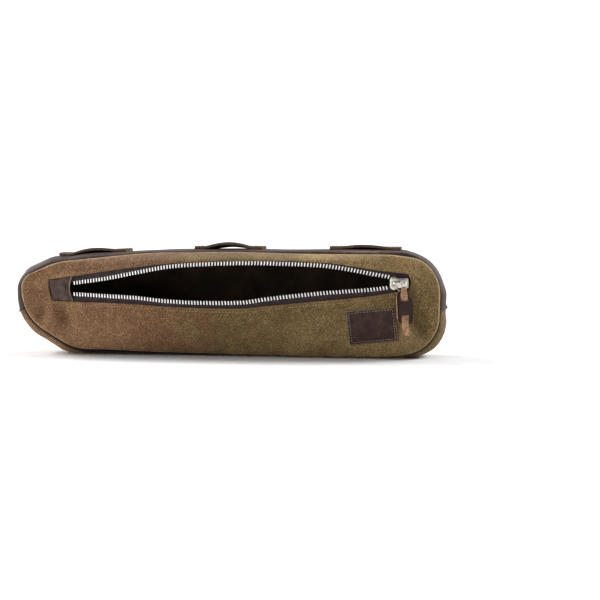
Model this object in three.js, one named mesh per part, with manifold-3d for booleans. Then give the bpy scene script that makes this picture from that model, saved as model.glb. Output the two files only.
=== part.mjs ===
// Top tube bag: a zipped waxed-canvas pouch with a leather top, hung below a bicycle's top tube by straps.
// Millimetres, +Z up. X runs along the bag, the zipped front faces -Y, and the bag stands on Z = 0.
import * as THREE from "three";
import { mergeVertices } from "three/addons/utils/BufferGeometryUtils.js";
import Module from "manifold-3d";

const solidKit = await Module();
solidKit.setup();

// Walls and clearances
const DEPTH = 45;          // gusset width, front seam to back seam
const GAP = 0.3;           // clearance between neighbouring pieces
const CANVAS = 1.6;
const LEATHER = 2;
const TAPE = 1;

// Panels
const EDGE_ROLL = 2;       // how far the turned seam edge of a panel stands out
const EDGE_RUN = 3;        // width of that turned edge
const FRONT_RINGS = 3;     // rings of facets between the turned edge and the mouth
const BACK_RINGS = 2;
const BACK_COARSENESS = 2; // the plain back has half as many facets round it
const BACK_CROWN = 4;      // swell of the back panel at its middle
const LOWER_LEAN = 1.1;    // the lower lip stands out this much further than the upper one

// Pattern of the panels: corners before rounding, anticlockwise as seen from the front.
const PANEL_CORNERS = [
  { name: "top_right", x: 166, z: 81.5, radius: 31 },
  { name: "top_shoulder", x: -60, z: 81.5, radius: 400 },
  { name: "top_slope", x: -138, z: 73.6, radius: 60 },
  { name: "top_left", x: -167.3, z: 60.8, radius: 12 },
  { name: "left_low", x: -166, z: 30, radius: 38 },
  { name: "bottom_left", x: -122, z: 3, radius: 45 },
  { name: "bottom_right", x: 164, z: 3, radius: 30 },
];

// The four stretches of the seam that face the four sides of the mouth: where each starts, and its facets.
const STRETCHES = [
  { side: "top", x: 157, z: 72, facets: 36 },
  { side: "left", x: -160, z: 64, facets: 4 },
  { side: "bottom", x: -160, z: 26, facets: 36 },
  { side: "right", x: 157, z: 12, facets: 4 },
];

// The open mouth: heights of the canvas edges and of the tooth rows, and how far the lips stand out.
const MOUTH = [
  { x: -142.5, edgeTop: 59.9, teethTop: 54.6, teethLow: 48.6, edgeLow: 43.3, out: 1 },
  { x: -120, edgeTop: 62.8, teethTop: 57.4, teethLow: 48.4, edgeLow: 42.4, out: 3.7 },
  { x: -95, edgeTop: 66.8, teethTop: 61, teethLow: 47.4, edgeLow: 42.1, out: 7.3 },
  { x: -70, edgeTop: 70.5, teethTop: 65.9, teethLow: 46.4, edgeLow: 41.3, out: 10.6 },
  { x: -45, edgeTop: 73.6, teethTop: 70.5, teethLow: 44.2, edgeLow: 39.9, out: 13.2 },
  { x: -20, edgeTop: 75.3, teethTop: 72.6, teethLow: 43.3, edgeLow: 39.2, out: 14.7 },
  { x: 15, edgeTop: 76.5, teethTop: 73.8, teethLow: 43.8, edgeLow: 39.2, out: 15 },
  { x: 35, edgeTop: 76.3, teethTop: 73.7, teethLow: 46.7, edgeLow: 41.3, out: 14.8 },
  { x: 75, edgeTop: 75, teethTop: 72.3, teethLow: 51.2, edgeLow: 45.2, out: 13.3 },
  { x: 95, edgeTop: 72.6, teethTop: 69.6, teethLow: 52.7, edgeLow: 47, out: 10.9 },
  { x: 115, edgeTop: 69.3, teethTop: 65.7, teethLow: 54.2, edgeLow: 49.2, out: 7.4 },
  { x: 142, edgeTop: 65.8, teethTop: 61, teethLow: 57.6, edgeLow: 53.5, out: 3.4 },
];
const MOUTH_END_BOW = { left: 0.6, right: 1.5 };

// Dents and folds of the soft front: place, reach and depth.
const DENTS = [
  { place: "below_tab", x: -131, z: 27, reachX: 16, reachZ: 9, depth: 2.2 },
  { place: "beside_pull", x: 150, z: 24, reachX: 5, reachZ: 16, depth: 1.6 },
  { place: "before_label", x: 55, z: 20, reachX: 40, reachZ: 12, depth: 1.8 },
  { place: "left_end", x: -155, z: 46, reachX: 8, reachZ: 16, depth: 1 },
];

// Gusset: the swell of the band on each side of the bag, and the two seams where leather meets canvas.
const SWELL = { top: 3.307, bottom: 6.5, left: 9.8, right: 6.6, lowLeft: 6.6, highLeft: 17.9 };
const SWELL_POWER = 5;
const GUSSET_SECTION = [-1, -0.92, -0.8, 0.8, 0.92, 1];
const GUSSET_SEAMS = { right: { x: 166, z: 40 }, left: { x: -163, z: 34.6 } };
const SEAM_NUB = { proud: 1.4, run: 3 };
const LINE_STEP = 14;
const ARC_STEP = Math.PI / 10;

// Strap loops: middle of each strip along X, and the rise of its arch.
const LOOP = { length: 56, width: 22, thickness: 1.9, sewn: 0.16, facets: 15 };
const STRAP_LOOPS = [
  { name: "strap_loop_left", x: -112, rise: 1.5 },
  { name: "strap_loop_middle", x: -2, rise: 4.4 },
  { name: "strap_loop_right", x: 106.5, rise: 1.2 },
];

// Zip
const TOOTH = { pitch: 2.4, width: 1.35, length: 3.8, thickness: 2.4, rail: 1.2 };
const TEETH_SPAN = { from: -122.6, to: 127 };
const TAB = { from: -142, to: -123.4, inset: 0.5, thickness: 1.5, puff: 0.9, facets: [5, 4] };
const SLIDER = { x: 134.5, z: 58.8, length: 13.8, mouth: 9.9, tail: 8.2, plate: 1.5, inside: 3.2, post: 3 };
const BRIDGE = { half: 5, height: 3.8, wall: 1.3, width: 2.6 };
const RING = { radius: 4, wire: 0.6, right: 3.5, below: 1.6, tilt: THREE.MathUtils.degToRad(10) };
const PULL = { thickness: 1.4, tail: 5.2, wide: 11.2, drop: 35, sway: THREE.MathUtils.degToRad(6) };
const KEEPER = { out: 1.3, top: 1.6, shoulder: 5, bottom: 27.5, slitWidth: 6 };
const KEEPER_SLITS = [{ from: 2.9, to: 7.7 }, { from: 18.5, to: 23.4 }];

// Label
const LABEL = { x: 113.5, z: 26, width: 36.4, height: 25.5, thickness: 1.4 };
const LABEL_TURN = THREE.MathUtils.degToRad(5.5);

const MATERIALS = {
  canvas: { color: 0x6e5638, roughness: 0.8, metalness: 0 },
  leather: { color: 0x3a241a, roughness: 0.5, metalness: 0 },
  tape: { color: 0x2b1d1c, roughness: 0.9, metalness: 0 },
  teeth: { color: 0xc9c8c4, roughness: 0.3, metalness: 1 },
  nickel: { color: 0xb9b6ae, roughness: 0.25, metalness: 1 },
};

const bag = new THREE.Group();
bag.name = "top_tube_bag";

function addPiece(name, look, geometry) {
  const piece = new THREE.Mesh(geometry, new THREE.MeshStandardMaterial(MATERIALS[look]));
  piece.name = name;
  bag.add(piece);
}

// A closed skin: points are shared, empty triangles are left out, and faces are turned outwards.
class Skin {
  constructor() {
    this.points = [];
    this.triangles = [];
    this.known = new Map();
  }
  index(point) {
    const key = point.toArray().map((value) => Math.round(value * 2000)).join(" ");
    if (!this.known.has(key)) {
      this.known.set(key, this.points.length);
      this.points.push(point);
    }
    return this.known.get(key);
  }
  triangle(a, b, c) {
    const corners = [a, b, c].map((point) => this.index(point));
    if (new Set(corners).size === 3) this.triangles.push(corners);
  }
  quad(a, b, c, d) {
    this.triangle(a, b, c);
    this.triangle(a, c, d);
  }
  volume() {
    const cross = new THREE.Vector3();
    return this.triangles.reduce((sum, [a, b, c]) => {
      return sum + this.points[a].dot(cross.crossVectors(this.points[b], this.points[c])) / 6;
    }, 0);
  }
  geometry() {
    if (this.volume() < 0) this.triangles.forEach((corners) => corners.reverse());
    const geometry = new THREE.BufferGeometry().setFromPoints(this.points);
    geometry.setIndex(this.triangles.flat());
    geometry.computeVertexNormals();
    return geometry;
  }
}

// A wall between an outer and an inner grid of points. The rows may close into a ring, and a ring may
// shrink onto a spine, where it needs no rim.
function wallGeometry(outer, inner, { ring = false, spine = false } = {}) {
  const skin = new Skin();
  const count = outer.length;
  const last = outer[0].length - 1;
  const steps = ring ? count : count - 1;
  for (let i = 0; i < steps; i += 1) {
    const next = (i + 1) % count;
    for (let j = 0; j < last; j += 1) {
      skin.quad(outer[i][j], outer[next][j], outer[next][j + 1], outer[i][j + 1]);
      skin.quad(inner[i][j], inner[i][j + 1], inner[next][j + 1], inner[next][j]);
    }
    skin.quad(outer[i][0], inner[i][0], inner[next][0], outer[next][0]);
    if (!spine) skin.quad(outer[i][last], outer[next][last], inner[next][last], inner[i][last]);
  }
  if (!ring) {
    for (let j = 0; j < last; j += 1) {
      skin.quad(outer[0][j], outer[0][j + 1], inner[0][j + 1], inner[0][j]);
      skin.quad(outer[steps][j], inner[steps][j], inner[steps][j + 1], outer[steps][j + 1]);
    }
  }
  return skin.geometry();
}

// A smooth curve through one column of a table whose rows run along x.
function along(rows, column) {
  const slope = (k) => {
    const before = rows[Math.max(k - 1, 0)];
    const after = rows[Math.min(k + 1, rows.length - 1)];
    return (after[column] - before[column]) / (after.x - before.x);
  };
  return (x) => {
    let k = 0;
    while (k < rows.length - 2 && x > rows[k + 1].x) k += 1;
    const width = rows[k + 1].x - rows[k].x;
    const u = THREE.MathUtils.clamp((x - rows[k].x) / width, 0, 1);
    const rise = u * u * (3 - 2 * u);
    const bend = u * (1 - u) * width * (slope(k) * (1 - u) - slope(k + 1) * u);
    return THREE.MathUtils.lerp(rows[k][column], rows[k + 1][column], rise) + bend;
  };
}

const mouth = Object.fromEntries(
  ["edgeTop", "teethTop", "teethLow", "edgeLow", "out"].map((column) => [column, along(MOUTH, column)]),
);
const MOUTH_LEFT = MOUTH[0].x;
const MOUTH_RIGHT = MOUTH[MOUTH.length - 1].x;

// The seam line in the X-Z plane: straight runs joined by arcs.
function roundedOutline(corners) {
  const outline = new THREE.Path();
  corners.forEach((corner, k) => {
    const before = corners[(k + corners.length - 1) % corners.length];
    const after = corners[(k + 1) % corners.length];
    const [normalIn, normalOut] = [[before, corner], [corner, after]].map(([from, to]) => {
      return new THREE.Vector2(to.z - from.z, from.x - to.x).normalize();
    });
    const reach = corner.radius / (1 + normalIn.dot(normalOut));
    const centre = new THREE.Vector2(corner.x, corner.z).addScaledVector(normalIn, -reach);
    centre.addScaledVector(normalOut, -reach);
    outline.absarc(centre.x, centre.y, corner.radius, normalIn.angle(), normalOut.angle(), false);
  });
  outline.closePath();
  return outline;
}

const outline = roundedOutline(PANEL_CORNERS);

// How far round the seam line (0 to 1) the point nearest a given place is.
function placeOnOutline({ x, z }) {
  const samples = 1200;
  let nearest = { share: 0, distance: Infinity };
  for (let k = 0; k < samples; k += 1) {
    const point = outline.getPoint(k / samples);
    const distance = Math.hypot(point.x - x, point.y - z);
    if (distance < nearest.distance) nearest = { share: k / samples, distance };
  }
  return nearest.share;
}

const wrap = (share) => share - Math.floor(share);

// A point of the seam line and the direction outwards there, both in the X-Z plane.
function seamAt(share) {
  const step = 1e-4;
  const point = outline.getPoint(wrap(share));
  const ahead = outline.getPoint(wrap(share + step)).sub(outline.getPoint(wrap(share - step)));
  return { x: point.x, z: point.y, out: new THREE.Vector2(ahead.y, -ahead.x).normalize() };
}

// The rim of the mouth on one side, a share u of the way along it.
function mouthRim(side, u) {
  const across = side === "top" ? 1 - u : u;
  const x = THREE.MathUtils.lerp(MOUTH_LEFT, MOUTH_RIGHT, across);
  const bow = Math.sin(Math.PI * u);
  const between = (end, from, to, lean) => ({
    z: THREE.MathUtils.lerp(mouth[from](end), mouth[to](end), u),
    out: mouth.out(end) * lean,
  });
  if (side === "top") return { x, z: mouth.edgeTop(x), out: mouth.out(x) };
  if (side === "bottom") return { x, z: mouth.edgeLow(x), out: mouth.out(x) * LOWER_LEAN };
  if (side === "left") {
    const lean = THREE.MathUtils.lerp(1, LOWER_LEAN, u);
    return { x: MOUTH_LEFT - MOUTH_END_BOW.left * bow, ...between(MOUTH_LEFT, "edgeTop", "edgeLow", lean) };
  }
  const lean = THREE.MathUtils.lerp(LOWER_LEAN, 1, u);
  return { x: MOUTH_RIGHT + MOUTH_END_BOW.right * bow, ...between(MOUTH_RIGHT, "edgeLow", "edgeTop", lean) };
}

// The back panel closes on a spine half-way up.
function backSpine(side, u) {
  const across = { top: 1 - u, bottom: u, left: 0, right: 1 }[side];
  const x = THREE.MathUtils.lerp(MOUTH_LEFT, MOUTH_RIGHT, across) * 0.9;
  return { x, z: (mouth.edgeTop(x) + mouth.edgeLow(x)) / 2 - 10, out: BACK_CROWN, spine: true };
}

// Pairs of points, one on the seam and one on the inner rim, right round a panel.
function panelRibs(innerRim, coarseness) {
  const starts = STRETCHES.map(placeOnOutline);
  return STRETCHES.flatMap(({ side, facets }, k) => {
    const count = Math.max(Math.round(facets / coarseness), 4);
    const run = wrap(starts[(k + 1) % starts.length] - starts[k]);
    return Array.from({ length: count }, (_, step) => {
      const seam = seamAt(starts[k] + (run * step) / count);
      const rim = innerRim(side, step / count);
      return { side, seam, rim, length: Math.hypot(rim.x - seam.x, rim.z - seam.z) };
    });
  });
}

function dentAt(x, z) {
  return DENTS.reduce((sum, dent) => {
    const away = ((x - dent.x) / dent.reachX) ** 2 + ((z - dent.z) / dent.reachZ) ** 2;
    return sum + dent.depth * Math.exp(-away);
  }, 0);
}

// A point on a panel's outside, a share t of the way from the seam to the inner rim.
function panelPoint({ seam, rim, length }, t, facing) {
  const x = THREE.MathUtils.lerp(seam.x, rim.x, t);
  const z = THREE.MathUtils.lerp(seam.z, rim.z, t);
  const turned = 1 - Math.min((t * length) / EDGE_RUN, 1);
  const roll = EDGE_ROLL * Math.sqrt(1 - turned * turned);
  const lean = rim.out * Math.sin((t * Math.PI) / 2);
  const dent = facing < 0 ? dentAt(x, z) * Math.sin(t * Math.PI) : 0;
  return new THREE.Vector3(x, facing * (DEPTH / 2 + roll + lean - dent), z);
}

// The same point, set in from the outside by a given depth, square to the surface.
function panelInset(ribs, i, t, depth, facing) {
  const step = 1e-3;
  if (t === 1 && ribs[i].rim.spine) {
    return panelPoint(ribs[i], t, facing).add(new THREE.Vector3(0, -facing * depth, 0));
  }
  const before = ribs[(i + ribs.length - 1) % ribs.length];
  const after = ribs[(i + 1) % ribs.length];
  const round = panelPoint(after, t, facing).sub(panelPoint(before, t, facing));
  const inward = panelPoint(ribs[i], Math.min(t + step, 1), facing);
  inward.sub(panelPoint(ribs[i], Math.max(t - step, 0), facing));
  const normal = round.cross(inward).normalize().multiplyScalar(-facing);
  return panelPoint(ribs[i], t, facing).addScaledVector(normal, -depth);
}

// Shares of the way across a panel at which its rings lie: three on the turned edge, then even ones.
function ringShares(length, even) {
  const turned = Math.min(EDGE_RUN / length, 0.34);
  const rest = Array.from({ length: even }, (_, k) => turned + ((1 - turned) * (k + 1)) / even);
  return [0, 0.3 * turned, turned, ...rest];
}

function panelGrid(ribs, even, depth, facing) {
  return ribs.map((rib, i) => ringShares(rib.length, even).map((t) => panelInset(ribs, i, t, depth, facing)));
}

const frontRibs = panelRibs(mouthRim, 1);
const frontOutside = panelGrid(frontRibs, FRONT_RINGS, 0, -1);

function frontPanel() {
  return wallGeometry(frontOutside, panelGrid(frontRibs, FRONT_RINGS, CANVAS, -1), { ring: true });
}

function backPanel() {
  const ribs = panelRibs(backSpine, BACK_COARSENESS);
  const rings = { ring: true, spine: true };
  return wallGeometry(panelGrid(ribs, BACK_RINGS, 0, 1), panelGrid(ribs, BACK_RINGS, CANVAS, 1), rings);
}

// Places round the seam line from one share to another: arcs get short facets, straight runs long ones.
function gussetStations(from, to) {
  const total = outline.getLength();
  const run = wrap(to - from);
  const shares = [0, SEAM_NUB.run / total, run - SEAM_NUB.run / total, run];
  let start = 0;
  outline.curves.forEach((curve) => {
    const length = curve.getLength();
    const turn = curve.isEllipseCurve ? length / curve.xRadius : 0;
    const facets = Math.ceil(Math.max(turn / ARC_STEP, turn ? 1 : length / LINE_STEP));
    for (let k = 0; k < facets; k += 1) {
      const share = wrap((start + (length * k) / facets) / total - from);
      if (share > shares[1] && share < run - shares[1]) shares.push(share);
    }
    start += length;
  });
  return shares.sort((a, b) => a - b).map((share) => from + share);
}

function swellAt(out) {
  const upright = out.y > 0 ? SWELL.top : SWELL.bottom;
  const sideways = out.x > 0 ? SWELL.right : SWELL.left;
  const slanted = out.y > 0 ? SWELL.highLeft * out.y ** 5 : SWELL.lowLeft * 2 * Math.abs(out.y);
  const leftCorner = out.x < 0 ? slanted * Math.abs(out.x) : 0;
  return upright * out.y ** 2 + sideways * out.x ** 2 + leftCorner;
}

// A band round the bag, swelling between its two seams, flat where the bag stands on it.
function gussetBand(from, to, thickness, nub) {
  const stations = gussetStations(from, to);
  const half = DEPTH / 2 - 1.7 * GAP;
  const grid = (depth) => stations.map((share, k) => {
    const { x, z, out } = seamAt(share);
    const atEnd = k === 0 || k === stations.length - 1;
    return GUSSET_SECTION.map((v) => {
      const swell = swellAt(out) * (1 - Math.abs(v) ** SWELL_POWER) + (atEnd ? nub : 0) - depth;
      return new THREE.Vector3(x + out.x * swell, v * half, Math.max(z + out.y * swell, depth));
    });
  });
  return wallGeometry(grid(0), grid(thickness));
}

const seamShares = { right: placeOnOutline(GUSSET_SEAMS.right), left: placeOnOutline(GUSSET_SEAMS.left) };
const seamGap = GAP / 2 / outline.getLength();

function topGusset() {
  return gussetBand(seamShares.right + seamGap, seamShares.left - seamGap, LEATHER, SEAM_NUB.proud);
}

function bottomGusset() {
  return gussetBand(seamShares.left + seamGap, seamShares.right - seamGap, CANVAS, 0);
}

// The share of its swell that the flat middle of the band keeps.
const gussetFlat = 1 - Math.min(...GUSSET_SECTION.map(Math.abs)) ** SWELL_POWER;

// A strip along the top of the bag, flat at both sewn ends and arched between them.
function strapLoop({ x, rise }) {
  const total = outline.getLength();
  const middle = placeOnOutline({ x, z: PANEL_CORNERS[0].z });
  const rows = Array.from({ length: LOOP.facets + 1 }, (_, k) => k / LOOP.facets);
  const grid = (height) => rows.map((u) => {
    const seam = seamAt(middle + ((u - 0.5) * LOOP.length) / total);
    const bent = THREE.MathUtils.clamp((u - LOOP.sewn) / (1 - 2 * LOOP.sewn), 0, 1);
    const arch = rise * Math.sin(Math.PI * bent) ** 1.3;
    const lift = swellAt(seam.out) * gussetFlat + GAP + arch + height;
    return [-1, 1].map((side) => new THREE.Vector3(
      seam.x + seam.out.x * lift,
      (side * LOOP.width) / 2,
      seam.z + seam.out.y * lift,
    ));
  });
  return wallGeometry(grid(LOOP.thickness), grid(0));
}

// The height of the canvas at a lip, and the middle of the tape behind it, along Y.
const lipFace = (x, lean) => -(DEPTH / 2 + EDGE_ROLL + mouth.out(x) * lean);
const tapeMiddle = (x, lean) => lipFace(x, lean) + CANVAS + GAP + TAPE / 2;

// A tape: sewn behind its lip on some of the panel's rings, with a free edge that runs along the teeth.
function zipTape({ side, teeth, lean, up, sewnRings }) {
  const first = frontRibs.findIndex((rib) => rib.side === side);
  const count = frontRibs.filter((rib) => rib.side === side).length;
  const indices = Array.from({ length: count + 1 }, (_, k) => (first + k) % frontRibs.length);
  const grid = (depth) => indices.map((i) => {
    const shares = ringShares(frontRibs[i].length, FRONT_RINGS);
    const behind = CANVAS + 1.5 * GAP + depth;
    const sewn = sewnRings.map((ring) => panelInset(frontRibs, i, shares.at(ring), behind, -1));
    const { x } = panelInset(frontRibs, i, 1, behind, -1);
    const edge = mouth[teeth](x) + up * (TOOTH.length / 2 + GAP);
    return [...sewn, new THREE.Vector3(x, lipFace(x, lean) + CANVAS + GAP + depth, edge)];
  });
  return wallGeometry(grid(0), grid(TAPE));
}

// A row of teeth: a comb on a thin rail, bent along the edge of its tape.
function zipTeeth({ teeth, lean, up }) {
  const centre = (x) => new THREE.Vector3(x, tapeMiddle(x, lean), mouth[teeth](x));
  const { from, to } = TEETH_SPAN;
  const places = Array.from({ length: 61 }, (_, k) => THREE.MathUtils.lerp(from, to, k / 60));
  const path = new THREE.CatmullRomCurve3(places.map(centre));
  const length = path.getLength();
  const count = Math.floor((length - TOOTH.width) / TOOTH.pitch) + 1;
  const rows = [-1, 1].map((side) => (side * TOOTH.thickness) / 2);
  const reaches = [-TOOTH.length / 2, -TOOTH.length / 2 + TOOTH.rail, TOOTH.length / 2];
  const section = (distance) => {
    const origin = path.getPointAt(distance / length);
    const ahead = path.getTangentAt(distance / length);
    const front = new THREE.Vector3(0, -1, 0).addScaledVector(ahead, ahead.y).normalize();
    const across = new THREE.Vector3().crossVectors(ahead, front).multiplyScalar(up);
    return rows.map((depth) => reaches.map((reach) => {
      return origin.clone().addScaledVector(across, reach).addScaledVector(front, depth);
    }));
  };
  const skin = new Skin();
  const strip = ([backA, frontA], [backB, frontB], low, high) => {
    skin.quad(frontA[low], frontA[high], frontB[high], frontB[low]);
    skin.quad(backA[low], backB[low], backB[high], backA[high]);
  };
  const side = ([backA, frontA], [backB, frontB], reach, flip) => {
    const ring = [frontA[reach], frontB[reach], backB[reach], backA[reach]];
    skin.quad(...(flip ? ring.reverse() : ring));
  };
  const end = ([back, front], low, high, flip) => {
    const ring = [front[low], front[high], back[high], back[low]];
    skin.quad(...(flip ? ring.reverse() : ring));
  };
  let previous = null;
  for (let k = 0; k < count; k += 1) {
    const start = section(k * TOOTH.pitch);
    const finish = section(k * TOOTH.pitch + TOOTH.width);
    if (previous) {
      strip(previous, start, 0, 1);
      side(previous, start, 0, false);
      side(previous, start, 1, true);
    }
    strip(start, finish, 0, 1);
    strip(start, finish, 1, 2);
    side(start, finish, 0, false);
    side(start, finish, 2, true);
    end(start, 1, 2, true);
    end(finish, 1, 2, false);
    if (!previous) end(start, 0, 1, true);
    if (k === count - 1) end(finish, 0, 1, false);
    previous = finish;
  }
  return skin.geometry();
}

// A small padded plate of leather that lies in the left end of the mouth.
function zipEndTab() {
  const [columns, rows] = TAB.facets;
  const grid = (depth) => Array.from({ length: columns + 1 }, (_, i) => {
    const x = THREE.MathUtils.lerp(TAB.from, TAB.to, i / columns);
    return Array.from({ length: rows + 1 }, (__, j) => {
      const low = mouth.edgeLow(x) + TAB.inset;
      const high = mouth.edgeTop(x) - TAB.inset;
      const puff = TAB.puff * Math.sin((Math.PI * i) / columns) * Math.sin((Math.PI * j) / rows);
      const front = lipFace(x, 1) + CANVAS - TAB.thickness - GAP - puff;
      return new THREE.Vector3(x, front + depth, THREE.MathUtils.lerp(low, high, j / rows));
    });
  });
  return wallGeometry(grid(0), grid(TAB.thickness));
}

// Height of the faceted front along Y below a place in X-Z.
function frontHeight(x, z) {
  const place = new THREE.Vector3(x, 0, z);
  const flat = new THREE.Triangle();
  const weights = new THREE.Vector3();
  for (let i = 0; i < frontOutside.length; i += 1) {
    const next = frontOutside[(i + 1) % frontOutside.length];
    for (let j = 0; j < next.length - 1; j += 1) {
      const quad = [frontOutside[i][j], next[j], next[j + 1], frontOutside[i][j + 1]];
      for (const corners of [[quad[0], quad[1], quad[2]], [quad[0], quad[2], quad[3]]]) {
        flat.set(...corners.map((corner) => corner.clone().setY(0)));
        const inside = flat.getBarycoord(place, weights);
        if (inside && Math.min(weights.x, weights.y, weights.z) > -1e-6) {
          return weights.x * corners[0].y + weights.y * corners[1].y + weights.z * corners[2].y;
        }
      }
    }
  }
  throw new Error(`no canvas at ${x}, ${z}`);
}

// The patch follows the canvas that it is sewn to.
function labelPatch() {
  const columns = 9;
  const rows = 7;
  const grid = (lift) => Array.from({ length: columns + 1 }, (_, i) => {
    return Array.from({ length: rows + 1 }, (__, j) => {
      const flat = new THREE.Vector2((i / columns - 0.5) * LABEL.width, (j / rows - 0.5) * LABEL.height);
      flat.rotateAround(new THREE.Vector2(), LABEL_TURN);
      const x = LABEL.x + flat.x;
      const z = LABEL.z + flat.y;
      return new THREE.Vector3(x, frontHeight(x, z) - lift, z);
    });
  });
  return wallGeometry(grid(1.3 * GAP + LABEL.thickness), grid(1.3 * GAP));
}

// Joins solids that touch into one.
function joined(geometries) {
  const solids = geometries.map((geometry) => {
    const bare = new THREE.BufferGeometry().setAttribute("position", geometry.getAttribute("position"));
    bare.setIndex(geometry.getIndex());
    const { attributes, index } = mergeVertices(bare, 1e-4);
    const triVerts = Uint32Array.from(index.array);
    const vertProperties = Float32Array.from(attributes.position.array);
    return new solidKit.Manifold(new solidKit.Mesh({ numProp: 3, triVerts, vertProperties }));
  });
  const mesh = solidKit.Manifold.union(solids).getMesh();
  const geometry = new THREE.BufferGeometry();
  geometry.setAttribute("position", new THREE.BufferAttribute(mesh.vertProperties, mesh.numProp));
  geometry.setIndex(new THREE.BufferAttribute(mesh.triVerts, 1));
  geometry.computeVertexNormals();
  return geometry;
}

// A flat shape drawn in X-Z, with its back at y and its front a thickness nearer the viewer.
function upright(shape, y, thickness, curveSegments = 4) {
  const geometry = new THREE.ExtrudeGeometry(shape, { depth: thickness, bevelEnabled: false, curveSegments });
  return geometry.rotateX(Math.PI / 2).translate(0, y, 0);
}

const sliderMiddle = tapeMiddle(SLIDER.x, 1.05);
const sliderFront = sliderMiddle - SLIDER.inside / 2 - SLIDER.plate;
const ringPlane = sliderFront - (BRIDGE.height - BRIDGE.wall) / 2;

function sliderPlate() {
  const half = SLIDER.length / 2;
  const plate = new THREE.Shape();
  plate.moveTo(-half, 1.5);
  plate.lineTo(-half + 1, SLIDER.mouth / 2);
  plate.lineTo(-half + 4.5, SLIDER.mouth / 2);
  plate.quadraticCurveTo(-half + 7, SLIDER.mouth / 2, half - 5, SLIDER.tail / 2);
  plate.lineTo(half - 1.5, SLIDER.tail / 2);
  plate.quadraticCurveTo(half, SLIDER.tail / 2, half, SLIDER.tail / 2 - 1.5);
  plate.lineTo(half, 1.5 - SLIDER.tail / 2);
  plate.quadraticCurveTo(half, -SLIDER.tail / 2, half - 1.5, -SLIDER.tail / 2);
  plate.lineTo(half - 5, -SLIDER.tail / 2);
  plate.quadraticCurveTo(-half + 7, -SLIDER.mouth / 2, -half + 4.5, -SLIDER.mouth / 2);
  plate.lineTo(-half + 1, -SLIDER.mouth / 2);
  plate.lineTo(-half, -1.5);
  plate.closePath();
  return plate;
}

function sliderBridge() {
  const { half, height, wall, width } = BRIDGE;
  const sunk = -0.4;
  const arch = new THREE.Shape();
  arch.moveTo(-half, sunk);
  arch.lineTo(-half, height - 2);
  arch.quadraticCurveTo(-half, height, -half + 2.5, height);
  arch.lineTo(half - 2.5, height);
  arch.quadraticCurveTo(half, height, half, height - 2);
  arch.lineTo(half, sunk);
  arch.lineTo(half - wall, sunk);
  arch.lineTo(half - wall, height - 2.4);
  arch.quadraticCurveTo(half - wall, height - wall, half - 3, height - wall);
  arch.lineTo(-half + 3, height - wall);
  arch.quadraticCurveTo(-half + wall, height - wall, -half + wall, height - 2.4);
  arch.lineTo(-half + wall, sunk);
  arch.closePath();
  const geometry = new THREE.ExtrudeGeometry(arch, { depth: width, bevelEnabled: false, curveSegments: 4 });
  return geometry.rotateX(Math.PI).translate(0, sliderFront, width / 2);
}

function zipSlider() {
  const post = new THREE.Shape();
  post.moveTo(-SLIDER.length / 2 + 0.4, 0);
  post.lineTo(-SLIDER.length / 2 + 2, SLIDER.post / 2);
  post.lineTo(-SLIDER.length / 2 + 5, 0);
  post.lineTo(-SLIDER.length / 2 + 2, -SLIDER.post / 2);
  post.closePath();
  const rear = sliderMiddle + SLIDER.inside / 2 + SLIDER.plate;
  const slider = joined([
    upright(sliderPlate(), sliderFront + SLIDER.plate, SLIDER.plate),
    upright(sliderPlate(), rear, SLIDER.plate),
    upright(post, rear - 0.2, SLIDER.inside + 2 * SLIDER.plate - 0.4),
    sliderBridge(),
  ]);
  return slider.translate(SLIDER.x, 0, SLIDER.z);
}

function zipPullRing() {
  const ring = mergeVertices(new THREE.TorusGeometry(RING.radius, RING.wire, 8, 20).deleteAttribute("uv")
    .deleteAttribute("normal"), 1e-4);
  ring.rotateX(Math.PI / 2);
  ring.translate(RING.right, 0, -RING.below);
  ring.rotateX(-RING.tilt);
  ring.translate(SLIDER.x, ringPlane, SLIDER.z);
  ring.computeVertexNormals();
  return ring;
}

// The route of the folded strip seen from the side: how far it stands out, how far it hangs down, its width.
const bendRadius = RING.wire + 2.4 * GAP + PULL.thickness / 2;
const pullFront = KEEPER.out + PULL.thickness + GAP;
const pullBehind = KEEPER.out - PULL.thickness - GAP;
const PULL_ROUTE = [
  { out: KEEPER.out, down: 2.6, width: 4.6 },
  { out: -0.4, down: 1.4, width: 4 },
  { out: -bendRadius, down: 0, width: 2.8 },
  { out: -0.7 * bendRadius, down: -0.7 * bendRadius, width: 2.8 },
  { out: 0, down: -bendRadius, width: 2.8 },
  { out: 0.7 * bendRadius, down: -0.7 * bendRadius, width: 2.8 },
  { out: bendRadius, down: 0, width: 3.4 },
  { out: pullFront - 0.1, down: 1.5, width: 4.6 },
  { out: pullFront, down: 3, width: PULL.tail },
  { out: pullBehind, down: 7.6, width: PULL.tail },
  { out: pullBehind - 0.1, down: 13, width: PULL.tail },
  { out: pullBehind, down: 18.6, width: PULL.tail },
  { out: pullFront, down: 23.2, width: PULL.tail },
  { out: pullFront + 0.3, down: 26, width: PULL.tail },
  { out: pullFront - 0.5, down: PULL.drop, width: PULL.tail },
];

function pullStrip() {
  const turn = (k) => {
    const before = PULL_ROUTE[Math.max(k - 1, 0)];
    const after = PULL_ROUTE[Math.min(k + 1, PULL_ROUTE.length - 1)];
    return new THREE.Vector2(after.down - before.down, before.out - after.out).normalize();
  };
  const face = (side) => PULL_ROUTE.map(({ out, down, width }, k) => {
    const away = turn(k).multiplyScalar((side * PULL.thickness) / 2);
    return [-1, 1].map((edge) => new THREE.Vector3((edge * width) / 2, -(out + away.x), -(down + away.y)));
  });
  return wallGeometry(face(1), face(-1));
}

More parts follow.
